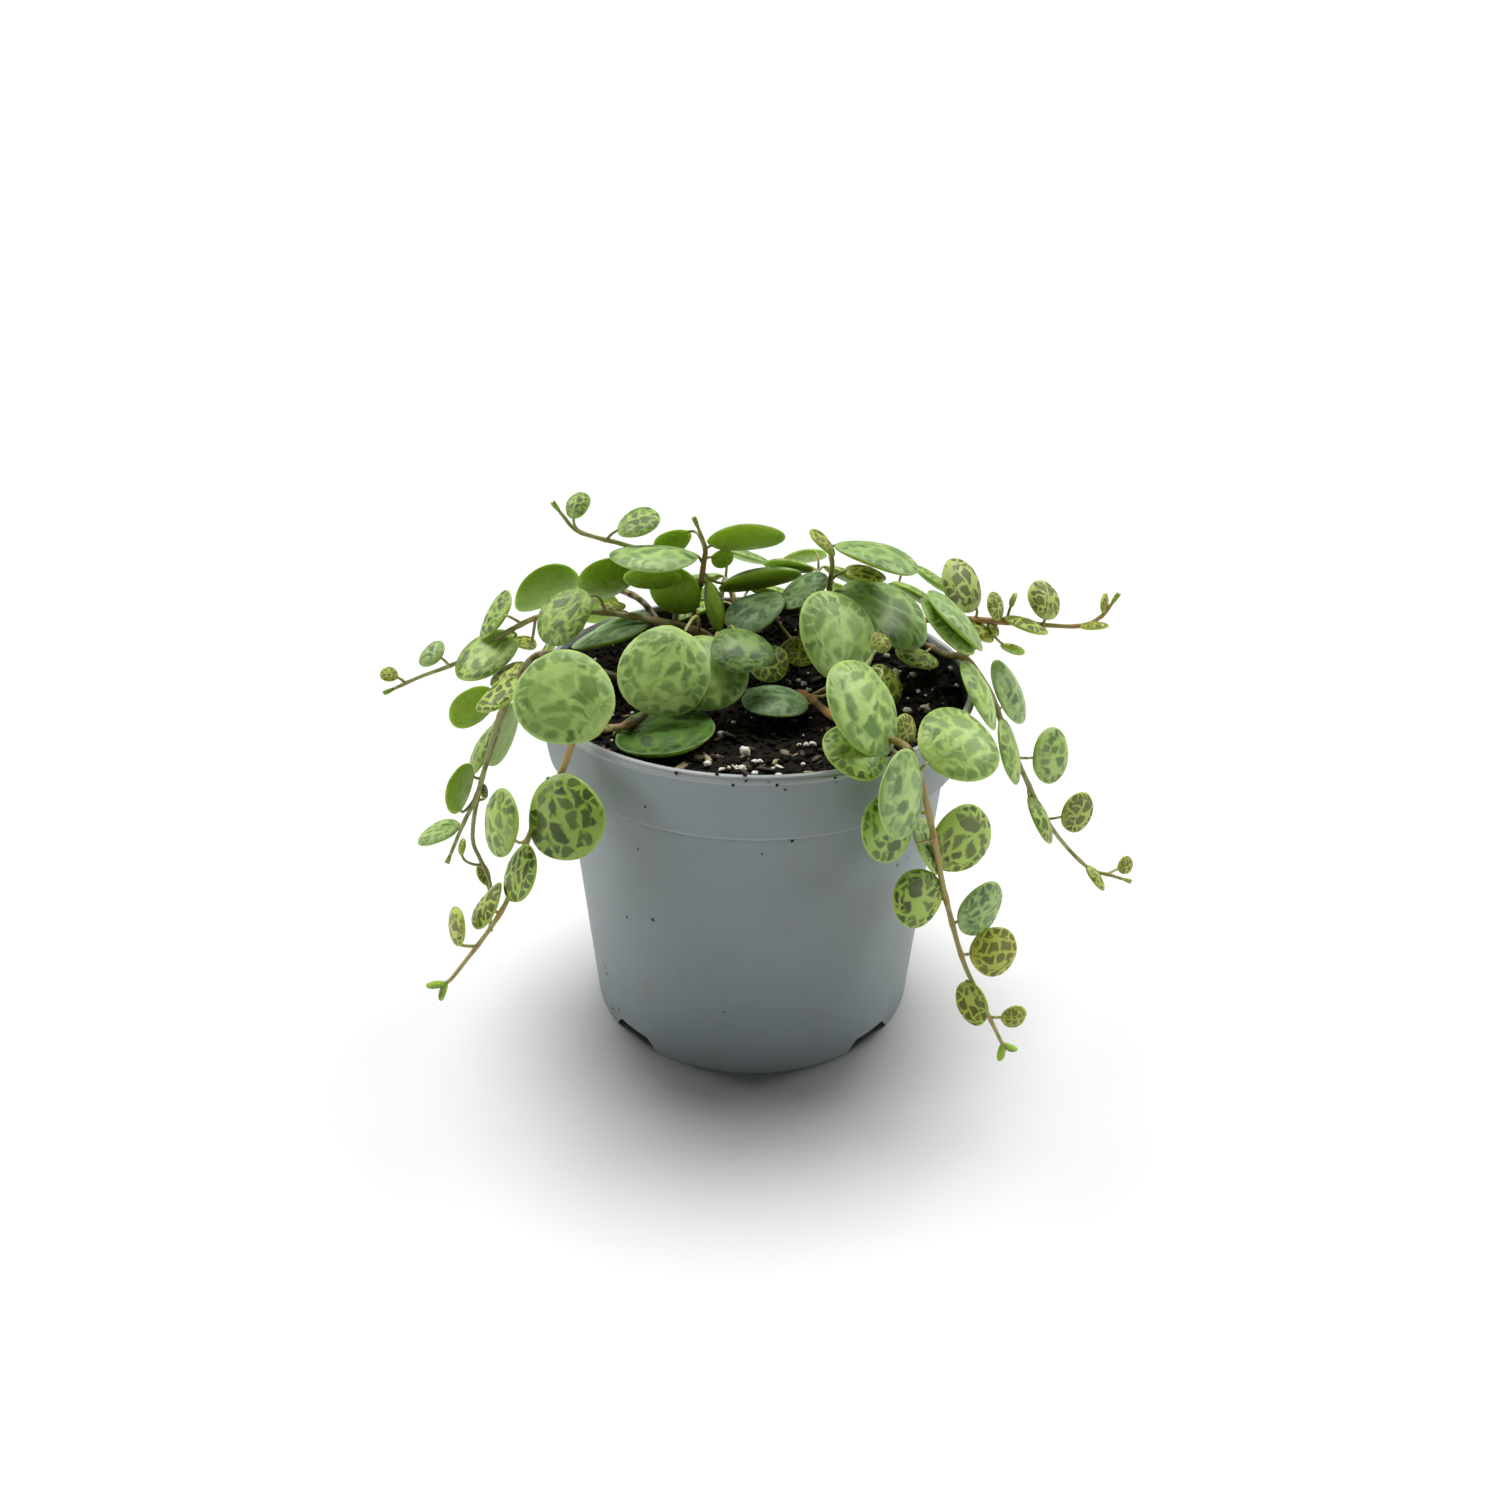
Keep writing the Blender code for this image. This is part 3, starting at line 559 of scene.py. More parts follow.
def perlite():
    look = Look("white_perlite", {"Subsurface Weight": 0.1, "Subsurface Scale": 0.0005})
    place = look.place()
    foam = look.clouds(place, 3, 4)
    stain = look.clouds(place, 0.8, 2)
    white = look.mixed(look.step(foam, 0.3, 0.6), colour(196, 188, 168), colour(240, 237, 226))
    white = look.mixed(look.step(stain, 0.5, 0.8) * 0.6, white, colour(158, 142, 116))
    return look.finish({"Base Color": white, "Roughness": 0.7 + 0.25 * foam,
                        "Normal": look.bump(foam, 0.1)})


peat_look, bark_look, perlite_look = peat(), bark(), perlite()
hand_over("peat_bed", soil_bm, [peat_look], "peat", "soil")

# %% [markdown]
# Real peat breaks into crumbs of all sizes. A particle system could strew them, but a loop with a seeded draw
# can lay each one on the lumps under it, and gives the same bed in each run. A crumb is a ball of twenty
# faces, squashed, turned and dented by noise, and it sinks a fifth of its height into the peat. The same
# helper serves for bark and perlite, with balls of eighty faces.

# %% Strewing grains
DENT = 0.6                             # how deep the dents are, as a share of the radius
DENT_COUNT = 2.6                       # and how many lie across a ball
GRAIN_SUNK = 0.2
STREWN_REACH = 0.985                   # how far out grains are strewn, as a share of the bed


def dented_ball(draw, size, balls, tone=0.0):
    """A ball that noise has dented, in a bmesh of its own."""
    bm = bmesh.new()
    grain_tone = bm.verts.layers.float.new("grain_tone")
    where = Vector([draw.uniform(-50, 50) for _ in range(3)])
    for v in bmesh.ops.create_icosphere(bm, subdivisions=balls, radius=size / 2)["verts"]:
        v.co *= 1 + DENT * noise.noise(v.co / size * DENT_COUNT + where)
        v[grain_tone] = tone
    return bm


def grain(heap, draw, place, size, shape, balls=1, tone=0.0, heading=None):
    """One squashed and dented ball on the peat. Shape is its length, width and height as shares of size. It
    tumbles anyhow, unless a heading is given."""
    bm = dented_ball(draw, size, balls, tone)
    verts = bm.verts[:]
    bmesh.ops.scale(bm, vec=shape, verts=verts)
    tilt = Matrix.Rotation(draw.uniform(0, math.tau), 3, "Z") @ Matrix.Rotation(draw.gauss(0, 0.45), 3, "X")
    if heading is not None:
        tilt = Matrix.Rotation(heading, 3, "Z")
    bmesh.ops.rotate(bm, cent=(0, 0, 0), matrix=tilt, verts=verts)
    low = min(v.co.z for v in verts)
    high = max(v.co.z for v in verts)
    x, y = place
    rest = soil_top(x, y) - low - (high - low) * GRAIN_SUNK
    bmesh.ops.translate(bm, vec=(x, y, rest), verts=verts)
    pour(heap, bm)


def strewn(draw):
    """A place on the bed, as likely anywhere."""
    distance = soil_rim * STREWN_REACH * math.sqrt(draw.random())
    turn = draw.uniform(0, math.tau)
    return distance * math.cos(turn), distance * math.sin(turn)


CRUMBS = 2600
CRUMB_SEED = 11
SMALLEST_CRUMB, CRUMB_SPREAD = 0.45, 0.9      # the spread is how much larger the largest one is
draw = random.Random(CRUMB_SEED)
crumb_bm = bmesh.new()
for _ in range(CRUMBS):
    size = SMALLEST_CRUMB + CRUMB_SPREAD * draw.random() ** 2.5
    grain(crumb_bm, draw, strewn(draw), size, (draw.uniform(1.0, 1.9), 0.85, draw.uniform(0.4, 0.8)))
hand_over("peat_crumbs", crumb_bm, [peat_look], "peat")

# %% [markdown]
# Bark chips and fibres are flat and longer than wide, from dark brown to the pale wood of their inner side.
# Boxes would bring corners that no splinter has, so they are flattened balls too. Most are strewn, but the
# ones that the photograph shows in front are laid one by one, each between the pixels of its two ends.

# %% Bark chips and fibres
CHIPS = 190
CHIP_SEED = 5
SMALLEST_CHIP, CHIP_SPREAD = 0.8, 1.1
CHIP_SHAPE = (1.5, 0.7, 0.38)
CHIP_RISE = 0.6                        # how high over the peat's level the chips in sight lie
draw = random.Random(CHIP_SEED)
bark_bm = bmesh.new()
for _ in range(CHIPS):
    size = SMALLEST_CHIP + CHIP_SPREAD * draw.random() ** 2
    grain(bark_bm, draw, strewn(draw), size, CHIP_SHAPE, 2, draw.random() ** 1.8)

# Each chip in sight: the pixels of its ends, its width, and its tone, from 0 for dark to 1.6 for near white.
CHIPS_SEEN = [(703, 751, 714, 764, 1.0, 1.1), (673, 770, 687, 762, 1.2, 0.8), (679, 767, 687, 762, 0.35, 1.6),
              (692, 758, 703, 754, 1.5, 0.6), (714, 738, 722, 734, 0.8, 0.45), (740, 753, 749, 758, 1.1, 0.7),
              (732, 765, 741, 772, 0.4, 1.6), (769, 766, 776, 763, 0.55, 1.5), (775, 763, 783, 766, 0.6, 1.6),
              (725, 762, 732, 765, 0.25, 1.0), (762, 768, 766, 757, 0.3, 0.9), (741, 771, 752, 777, 0.6, 0.3),
              (790, 752, 799, 748, 0.35, 0.8), (812, 756, 822, 751, 0.8, 0.6), (887, 671, 905, 669, 0.6, 1.6),
              (930, 690, 937, 681, 0.3, 0.9), (940, 700, 949, 697, 0.35, 0.8)]
for px, py, end_px, end_py, width, tone in CHIPS_SEEN:
    start = seen_at(px, py, SOIL_LEVEL + CHIP_RISE)
    end = seen_at(end_px, end_py, SOIL_LEVEL + CHIP_RISE)
    middle, way = (start + end) / 2, end - start
    shape = (way.length, width, width * 0.5)
    grain(bark_bm, draw, (middle.x, middle.y), 1, shape, 2, tone, math.atan2(way.y, way.x))
hand_over("bark_chips", bark_bm, [bark_look], "peat")

# %% [markdown]
# Perlite is glass that heat has blown up into light white grains, which keep the peat loose. Its pores could
# be modelled, but at a millimetre across a dented ball with a bump does. Those in sight are white enough to
# draw the eye, so each lies at its own pixel, and the rest are strewn.

# %% Perlite
PERLITE_STREWN = 120
PERLITE_SEED = 29
SMALLEST_PERLITE, PERLITE_SPREAD = 0.35, 0.8
PERLITE_SHAPE = (1.1, 0.9, 0.8)

# Each grain in sight: its pixel and its size.
PERLITE_SEEN = [(745, 748, 1.7), (722, 733, 1.2), (813, 742, 1.0), (755, 762, 0.9), (755, 773, 0.9),
                (729, 771, 0.5), (907, 712, 1.3), (925, 705, 1.4), (950, 674, 0.9), (956, 690, 0.8),
                (918, 692, 0.8), (722, 770, 0.8), (803, 761, 0.7), (717, 756, 0.7), (808, 690, 0.8)]
draw = random.Random(PERLITE_SEED)
perlite_bm = bmesh.new()
for px, py, size in PERLITE_SEEN:
    shown = seen_at(px, py, SOIL_LEVEL + size / 2)
    grain(perlite_bm, draw, (shown.x, shown.y), size, PERLITE_SHAPE, 2)
for _ in range(PERLITE_STREWN):
    place = strewn(draw)
    size = SMALLEST_PERLITE + PERLITE_SPREAD * draw.random() ** 2
    grain(perlite_bm, draw, place, size, PERLITE_SHAPE, 2)
hand_over("perlite_grains", perlite_bm, [perlite_look], "peat")

# %% [markdown]
# Whoever potted the plant spilt a little peat, and a few crumbs still stick to the rim and the wall. Painted
# spots would do from afar, but these stand proud and throw a shadow, so they are grains too, each put where
# the ray of its pixel first meets the pot.

# %% Crumbs that stick to the pot
# Each crumb: its pixel and its size.
WALL_CRUMBS = [(717, 775, 0.45), (745, 776, 0.5), (746, 781, 0.35), (676, 773, 0.45), (733, 785, 0.4),
               (777, 785, 0.4), (785, 790, 0.25), (835, 778, 0.35), (645, 807, 0.25), (638, 849, 0.25),
               (792, 841, 0.4), (762, 854, 0.25), (724, 1012, 0.25), (613, 1008, 0.3), (619, 1009, 0.25)]
RAY_STEP = 0.02
STUCK_SEED = 3


def outer_radius(z):
    """The pot's outer radius at a height."""
    if z > POT_HEIGHT:
        return 0
    return RIM_RADIUS if z > bead_foot else inner_radius(z) + WALL


def on_pot(px, py):
    """The first place on the pot that a pixel of the photograph shows."""
    ray = pixel_ray(px, py).normalized()
    point = seen_at(px, py, POT_HEIGHT) - ray
    while math.hypot(point.x, point.y) > outer_radius(point.z) and point.z > 0:
        point += ray * RAY_STEP
    return point


draw = random.Random(STUCK_SEED)
stuck_bm = bmesh.new()
for px, py, size in WALL_CRUMBS:
    crumb = dented_ball(draw, size, 2)
    bmesh.ops.translate(crumb, vec=on_pot(px, py), verts=crumb.verts)
    pour(stuck_bm, crumb)
hand_over("stuck_crumbs", stuck_bm, [peat_look], "peat")

# %% [markdown]
# The plant is fourteen runners. They could be scattered by a rule, but then no leaf would lie where the
# photograph shows it. So for each a route says where it goes, and a row for each leaf says where its middle
# is and which way its upper face looks. These are read off the photograph with the pot as a ruler, and they
# are the same that the solids were made from, so fine leaf and solid leaf lie in one place. The two longest
# runners come first: they cross the rim in front, where nothing hides them.

# %% Stems in front
# Route: where the stem runs, from the soil to its tip. Leaves: share of the route where the leaf grows, its
# middle (x, y, z), the way its upper face looks (heading from +X, rise), and its length.
STEMS = {}


def count_leaves():
    """Says how far the plan of the plant has come."""
    print(len(STEMS), "stems with", sum(len(plan["leaves"]) for plan in STEMS.values()), "leaves")


STEMS["stem_front_left"] = dict(
    route=[(-14, -10, 52), (-17.6, -16.6, 53.2), (-22.1, -24.8, 56.4), (-24.7, -26.2, 51.3),
           (-29.8, -26.5, 41.3), (-33.3, -28.5, 32.1), (-40.2, -30.5, 22.6), (-41.8, -31, 21)],
    leaves=[(0.12, -12.2, -16.7, 52.1, -162, 84, 13.9),
            (0.22, -24.0, -22.5, 60.0, -79, 39, 12.9),
            (0.43, -23.9, -29.6, 46.9, -111, 24, 11.2),
            (0.55, -32.5, -28.0, 44.7, -146, 19, 9.3),
            (0.60, -30.0, -30.2, 38.7, -150, 33, 7.7),
            (0.78, -34.8, -31.0, 34.0, -171, 38, 7.0),
            (0.88, -38.6, -33.0, 32.0, -149, 12, 5.4)])
STEMS["stem_front_right"] = dict(
    route=[(6, -3, 52), (8.1, -7.8, 53.2), (10.9, -14.2, 53.7), (14.9, -22.8, 55.5),
           (18.8, -28.4, 56.8), (20.6, -30.4, 53.2), (22.4, -31, 47), (24.8, -31, 37.2),
           (28, -31, 26.7), (30.6, -31, 20.7), (35.3, -31, 11)],
    leaves=[(0.03, 11.4, -5.0, 61.7, -48, 36, 13.7),
            (0.05, 13.7, -24.5, 60.4, -31, 37, 13.6),
            (0.08, 2.9, -8.5, 53.3, -10, 86, 9.8),
            (0.13, 17.4, -6.0, 61.3, -50, 46, 3.3),
            (0.15, 18.4, -5.2, 54.5, -42, 41, 6.6),
            (0.30, 12.7, -28.4, 56.1, -54, 62, 8.8),
            (0.39, 19.5, -20.4, 55.0, -48, 21, 4.3),
            (0.42, 25.3, -27.6, 56.6, -55, 59, 11.5),
            (0.44, 18.0, -34.2, 53.4, -33, 11, 11.3),
            (0.49, 16.7, -31.6, 46.8, -50, 26, 8.5),
            (0.54, 22.4, -28.6, 42.3, -13, 27, 8.0),
            (0.58, 26.7, -28.4, 43.2, -64, 7, 9.7),
            (0.66, 21.3, -32.6, 36.9, -58, 17, 8.1),
            (0.71, 30.3, -28.6, 32.5, -55, 2, 8.3),
            (0.78, 32.6, -29.6, 26.2, -70, 19, 7.2),
            (0.86, 29.9, -32.6, 19.8, -145, 6, 6.2),
            (0.93, 36.4, -30.4, 15.6, -76, 3, 3.8)])
count_leaves()

# %% [markdown]
# At the right one runner hangs far out over the rim, and a sprig stands out above it. How near the camera
# each leaf is can't be read off one picture. It could be left to chance, but the stem that a leaf hangs on
# and the leaves that it covers say enough to judge it, so each row is a considered guess in that one way.

# %% Stems at the right
STEMS["stem_right_hanging"] = dict(
    route=[(23, 17, 52), (26.6, 14, 52.8), (29, 8.4, 53.6), (31, 1.2, 55.8), (34.6, 0, 51.4),
           (36.7, 0, 46.9), (40.8, 0, 38.4), (46.8, 0.5, 27.8), (53.8, 1.5, 19.7),
           (58.6, 2.4, 17.3), (60.8, 3, 16.2)],
    leaves=[(0.10, 24.5, 6.2, 54.0, 0, 73, 7.3),
            (0.22, 27.4, -0.8, 61.5, -3, 48, 11.2),
            (0.26, 28.6, -1.2, 62.7, -1, 46, 11.7),
            (0.28, 31.8, -7.0, 54.2, -10, 32, 10.9),
            (0.40, 38.5, 4.6, 49.0, -21, 34, 10.7),
            (0.44, 38.0, -2.2, 42.6, -15, 22, 10.5),
            (0.53, 45.7, 3.0, 39.0, -48, 18, 9.0),
            (0.61, 44.3, -1.8, 30.5, -12, 33, 8.2),
            (0.71, 51.3, 3.0, 28.9, -57, 11, 7.0),
            (0.86, 55.3, 0.6, 18.1, -9, 43, 4.7),
            (0.95, 61.2, 4.4, 18.0, -60, 20, 3.2)])
STEMS["stem_right_sprig"] = dict(
    route=[(17, 13, 52), (22, 13, 56.5), (29.7, 10.8, 58.4), (34.1, 7.6, 59.5), (42.4, 6, 59.5),
           (48.7, 7, 59), (52, 8, 60.2), (53.2, 8, 62.2)],
    leaves=[(0.46, 30.7, 8.4, 64.6, -44, 33, 8.6),
            (0.50, 33.6, 6.8, 58.1, -25, 68, 5.1),
            (0.51, 39.0, 7.4, 55.0, 58, 52, 3.9),
            (0.53, 35.4, 6.0, 62.3, -36, 22, 4.4),
            (0.56, 39.9, 4.6, 60.0, 24, 73, 6.8),
            (0.57, 35.8, 6.6, 58.4, -23, 40, 2.2),
            (0.58, 38.2, 7.2, 62.9, 171, 15, 2.2),
            (0.69, 42.8, 7.0, 62.9, -55, 38, 6.2),
            (0.84, 50.6, 6.4, 59.2, 105, 76, 4.2),
            (0.94, 52.2, 8.4, 62.1, -28, 8, 3.0)])
count_leaves()

# %% [markdown]
# At the left two runners fall down the wall, and a third reaches far out in the air with its leaves like
# plates on it. A mirrored copy of the right side would save the work, but no plant grows so, and the outline
# against the white background is what one knows the plant by.

# %% Stems at the left
STEMS["stem_left_outer"] = dict(
    route=[(-15.3, -4.3, 52), (-22, -5, 56), (-30, -5.6, 57), (-35.4, -5.6, 51.6), (-38.2, -5.4, 45.6),
           (-41.3, -5.2, 36.4), (-44.2, -5, 30.6), (-46.8, -5, 25)],
    leaves=[(0.42, -35.8, -9.0, 54.1, -162, 61, 7.3),
            (0.50, -41.1, -3.0, 49.3, 132, 19, 8.0),
            (0.78, -44.2, -4.4, 36.2, 162, 9, 8.1),
            (0.88, -48.3, -4.2, 28.4, 178, 71, 7.1)])
STEMS["stem_left_inner"] = dict(
    route=[(-18, -0.6, 52), (-25, -1.8, 55.6), (-31.5, -1.4, 57), (-36.2, -0.8, 50),
           (-40, 0.4, 41), (-43.1, 0.8, 32.1), (-44.6, 0.4, 24.6), (-43.5, -0.5, 21), (-42.3, -1, 16.8),
           (-42.8, -1.6, 9.8)],
    leaves=[(0.36, -37.0, 2.4, 52.1, -173, 62, 6.3),
            (0.48, -40.0, 7.0, 39.8, 164, 15, 11.3),
            (0.60, -42.5, 4.2, 38.4, -171, 34, 9.1),
            (0.66, -42.0, 0.4, 33.1, -5, 10, 2.4),
            (0.84, -46.4, 0.2, 23.0, -160, 20, 2.8),
            (0.93, -43.6, 0.6, 17.6, -5, 25, 3.8)])
STEMS["stem_far_left"] = dict(
    route=[(-4, 0, 52), (-6, 3, 57.4), (-9.7, 4.5, 59), (-14.9, 5, 60), (-23.1, 6, 60.8),
           (-31, 6.5, 60.1), (-36.2, 7, 57.8), (-44.7, 7, 52.4), (-51.2, 6, 50), (-55, 5, 48.5)],
    leaves=[(0.04, -1.9, -7.0, 60.6, -66, 71, 9.3),
            (0.08, -7.0, -8.2, 57.6, -87, 58, 12.7),
            (0.16, -12.2, -12.0, 59.4, -84, 44, 13.1),
            (0.27, -21.4, 6.6, 57.1, 167, 69, 12.9),
            (0.33, -21.5, 8.6, 60.7, 62, 86, 4.2),
            (0.40, -27.7, 2.6, 61.4, -128, 45, 9.6),
            (0.58, -35.9, 11.0, 53.7, -1, 78, 4.3),
            (0.62, -39.3, 9.2, 58.9, -162, 37, 8.6),
            (0.66, -40.5, 5.8, 53.8, -133, 62, 10.6),
            (0.85, -48.9, 6.4, 53.6, -142, 51, 5.0),
            (0.97, -55.5, 5.0, 50.8, -63, 56, 2.7)])
count_leaves()

# %% [markdown]
# In the middle short shoots stand up and carry the highest leaves, and behind them two runners cross the rim
# at the back, of which only the first leaves show. They could be one crowded bush, but each leaf has to grow
# from some stem, so the ones in sight are shared out among five stems, by where they are and which way they
# point.

# %% Stems in the middle and at the back
STEMS["stem_back_sprig"] = dict(
    route=[(-13, 17, 52), (-12.6, 17, 60), (-15, 15.5, 66), (-20, 12.4, 69.2), (-23.1, 10.4, 70.7),
           (-26.4, 9, 72.4), (-28.4, 8.4, 75.2)],
    leaves=[(0.74, -17.5, 11.0, 72.9, -127, 63, 6.8),
            (0.86, -26.0, 9.4, 75.9, -123, 44, 4.3)])
STEMS["stem_back_left"] = dict(
    route=[(-15, 20, 52), (-18.8, 23, 56.4), (-24.4, 26.6, 56.8), (-28.6, 29.6, 52), (-31, 31.5, 44),
           (-32.5, 33, 36), (-33.5, 34.5, 30)],
    leaves=[(0.20, -23.6, 20.0, 60.9, 114, 32, 10.0),
            (0.36, -33.2, 19.0, 59.7, 126, 33, 11.3)])
STEMS["stem_upright"] = dict(
    route=[(-9, 14, 52), (-9.6, 13.2, 58.6), (-8.5, 12.2, 63), (-7.8, 11.2, 67.3), (-7.6, 11, 69.4),
           (-8.6, 11, 72.2)],
    leaves=[(0.42, -12.2, 11.4, 62.1, 76, 5, 8.2),
            (0.55, -15.4, 9.2, 65.0, 95, 48, 8.6),
            (0.58, -6.6, 10.6, 60.2, 25, 4, 7.6),
            (0.66, 0.4, 14.6, 63.0, 110, 58, 13.2),
            (0.70, -14.8, 7.0, 69.0, 63, 85, 13.1),
            (0.74, -5.2, 14.0, 66.6, 106, 22, 3.6),
            (0.77, -1.6, 10.6, 70.6, 96, 55, 11.8),
            (0.80, -12.7, 15.8, 68.5, 112, 33, 6.1)])
STEMS["stem_right_upright"] = dict(
    route=[(11.5, 8.5, 52), (11, 8.8, 58), (11, 8.6, 64.3), (11.2, 8, 68), (10.8, 7.4, 69.8)],
    leaves=[(0.50, 19.1, 6.8, 60.9, -40, 61, 14.9),
            (0.62, 5.3, 17.4, 64.2, 75, 61, 8.1),
            (0.72, 16.2, 9.6, 66.0, 0, 80, 6.4),
            (0.86, 17.4, 7.0, 69.3, 7, 76, 12.8),
            (0.97, 9.6, 7.0, 71.4, -4, 46, 5.2)])
STEMS["stem_back_right"] = dict(
    route=[(6, 8, 52), (8, 15, 54.4), (9.6, 22, 55.4), (10.4, 31.6, 56.8), (10.8, 36.4, 53),
           (11, 38.6, 45), (11.4, 40, 36), (12, 41, 28)],
    leaves=[(0.03, 0.0, 5.6, 61.3, -139, 65, 9.5),
            (0.06, 6.9, 6.8, 64.2, -158, 57, 8.1),
            (0.07, 2.0, 0.5, 55.3, -90, 50, 6.2),
            (0.09, 6.6, 3.2, 55.8, -94, 59, 5.0)])
count_leaves()

# %% [markdown]
# Two more runners hang behind the pot, where the photograph can't see. The plant could be left bare there,
# but a part in a library is seen from all sides. They get routes and a few leaves over the soil, in the sizes
# of the ones in sight, and a rule below adds the rest.

# %% Stems that hang behind
STEMS["stem_back"] = dict(
    route=[(-2, 17, 52), (-3, 23, 54.6), (-5, 31.8, 56.8), (-6, 36.4, 52.6), (-7, 38.4, 44),
           (-8, 39.8, 35), (-9, 41, 26), (-9, 42, 19)],
    leaves=[(0.03, -8.8, 20.8, 55.8, 150, 66, 8.4),
            (0.05, 3.4, 24.8, 57.0, 60, 62, 9.4),
            (0.10, -10.4, 28.6, 57.4, 118, 60, 10.4)])
STEMS["stem_right_back"] = dict(
    route=[(13, 19, 52), (17.6, 22, 55), (23.2, 25, 56.6), (26.2, 28, 52), (28, 30.4, 43),
           (29, 32.4, 34)],
    leaves=[(0.04, 17.6, 19.8, 57.2, 10, 64, 9.2),
            (0.22, 25.8, 20.6, 58.4, 28, 56, 9.6)])
count_leaves()

# %% [markdown]
# A real stem bends smoothly, and a row of points doesn't. A curve object could smooth it, but its handles
# would need setting, and asking for a place along it is awkward. So a formula joins the points: it passes
# through each of them, and bends each stretch by the points before and after it. A second helper finds the
# place at any share of the curve's length.

# %% Following a route
COARSE_STEP = 4.6             # the step that the solids' stems have, which the leaves' own axes start from
FINE_STEP = 0.9
ROOT_DEPTH = 4                # the curve comes up from this far below its first point


def facing(heading, rise):
    """Unit vector towards a heading and a rise in degrees."""
    h, r = math.radians(heading), math.radians(rise)
    return Vector((math.cos(r) * math.cos(h), math.cos(r) * math.sin(h), math.sin(r)))


def smooth_route(route, step):
    """Points along a smooth curve through the route."""
    places = [Vector(p) for p in route]
    before = places[0] - Vector((0, 0, ROOT_DEPTH))
    after = places[-1] * 2 - places[-2]
    chain = [before, *places, after]
    curve = []
    for a, b, c, d in zip(chain, chain[1:], chain[2:], chain[3:]):
        pieces = max(1, round((c - b).length / step))
        for i in range(pieces):
            t = i / pieces
            curve.append(0.5 * ((2 * b) + (c - a) * t + (2 * a - 5 * b + 4 * c - d) * t * t
                                + (3 * b - a - 3 * c + d) * t ** 3))
    curve.append(places[-1])
    return curve


def along(curve, share):
    """The place at a share of a curve's length."""
    lengths = [(b - a).length for a, b in zip(curve, curve[1:])]
    left = share * sum(lengths)
    for a, b, length in zip(curve, curve[1:], lengths):
        if left <= length:
            return a.lerp(b, left / length)
        left -= length
    return curve[-1].copy()


front_right = smooth_route(STEMS["stem_front_right"]["route"], FINE_STEP)
print("the front right stem is followed in", len(front_right) - 1, "pieces")

# %% [markdown]
# On a real runner the leaves alternate from side to side, and get smaller towards the tip, where they are
# young. For the leaves that no photograph shows, inventing rows by hand would be slow and no truer. A rule
# does it: from a share of the route on, a leaf every few millimetres, looking outwards and up, with a little
# seeded chance in each. The solids were made by the same rule and the same seeds.

# %% Leaves by rule
# The share of the route where the rule starts, and where the last leaf grows.
HIDDEN_START = {"stem_back": 0.30, "stem_right_back": 0.34, "stem_back_left": 0.46, "stem_back_right": 0.32}
HIDDEN_END = 0.97
HIDDEN_SPACING = 5.8
HIDDEN_FIRST = 9.0            # length of the first leaf of such a stem, and of its last
HIDDEN_LAST = 4.6
RIM_CLEAR = 53.5              # above this height a hidden leaf stands over the rim
LOOKS_ASIDE, GROWS_ASIDE = 36, 55     # degrees to the side that a leaf looks, and that it grows
OVER_SOIL = {"rise": 62, "climb": 30}  # degrees that it looks up, and that its stalk climbs
HANGING = {"rise": 30, "climb": -20}
STALK_LENGTH = 1.4
OFF_STEM = 1.2                # how much further out than its stem such a leaf lies
SEED = 20


def hidden_leaves(name, route):
    """Leaves by rule: they alternate along the stem, look outwards and up, and shrink towards the tip."""
    draw = random.Random(f"{SEED} {name}")
    curve = smooth_route(route, COARSE_STEP)
    total = sum((b - a).length for a, b in zip(curve, curve[1:]))
    start = HIDDEN_START[name]
    count = round(total * (1 - start) / HIDDEN_SPACING)
    leaves = []
    for i in range(count):
        share = start + (HIDDEN_END - start) * i / max(1, count - 1)
        root = along(curve, share)
        length = HIDDEN_FIRST + (HIDDEN_LAST - HIDDEN_FIRST) * i / max(1, count - 1)
        outward = math.degrees(math.atan2(root.y, root.x))
        side = 1 if i % 2 else -1
        pose = OVER_SOIL if root.z > RIM_CLEAR else HANGING
        heading = outward + side * LOOKS_ASIDE + draw.uniform(-10, 10)
        rise = pose["rise"] + draw.uniform(-8, 8)
        away = facing(outward + side * GROWS_ASIDE + draw.uniform(-8, 8), pose["climb"])
        middle = root + away * (length * 0.5 + STALK_LENGTH) + facing(outward, 0) * OFF_STEM
        leaves.append((share, *middle, heading, rise, length))
    return leaves


for name in HIDDEN_START:
    STEMS[name]["leaves"] = STEMS[name]["leaves"] + hidden_leaves(name, STEMS[name]["route"])
count_leaves()

# %% [markdown]
# No two leaves of the plant look alike: a young one is lime, an old one grey-green, and a few are a lush dark
# green or cupped. The darkest green, on the cupped leaf that lies under another, is painted shade. One look
# for all would make a plastic plant. Most leaves get their age from their length and their place on the stem,
# and the ones that stand out in the photograph have a row of their own.

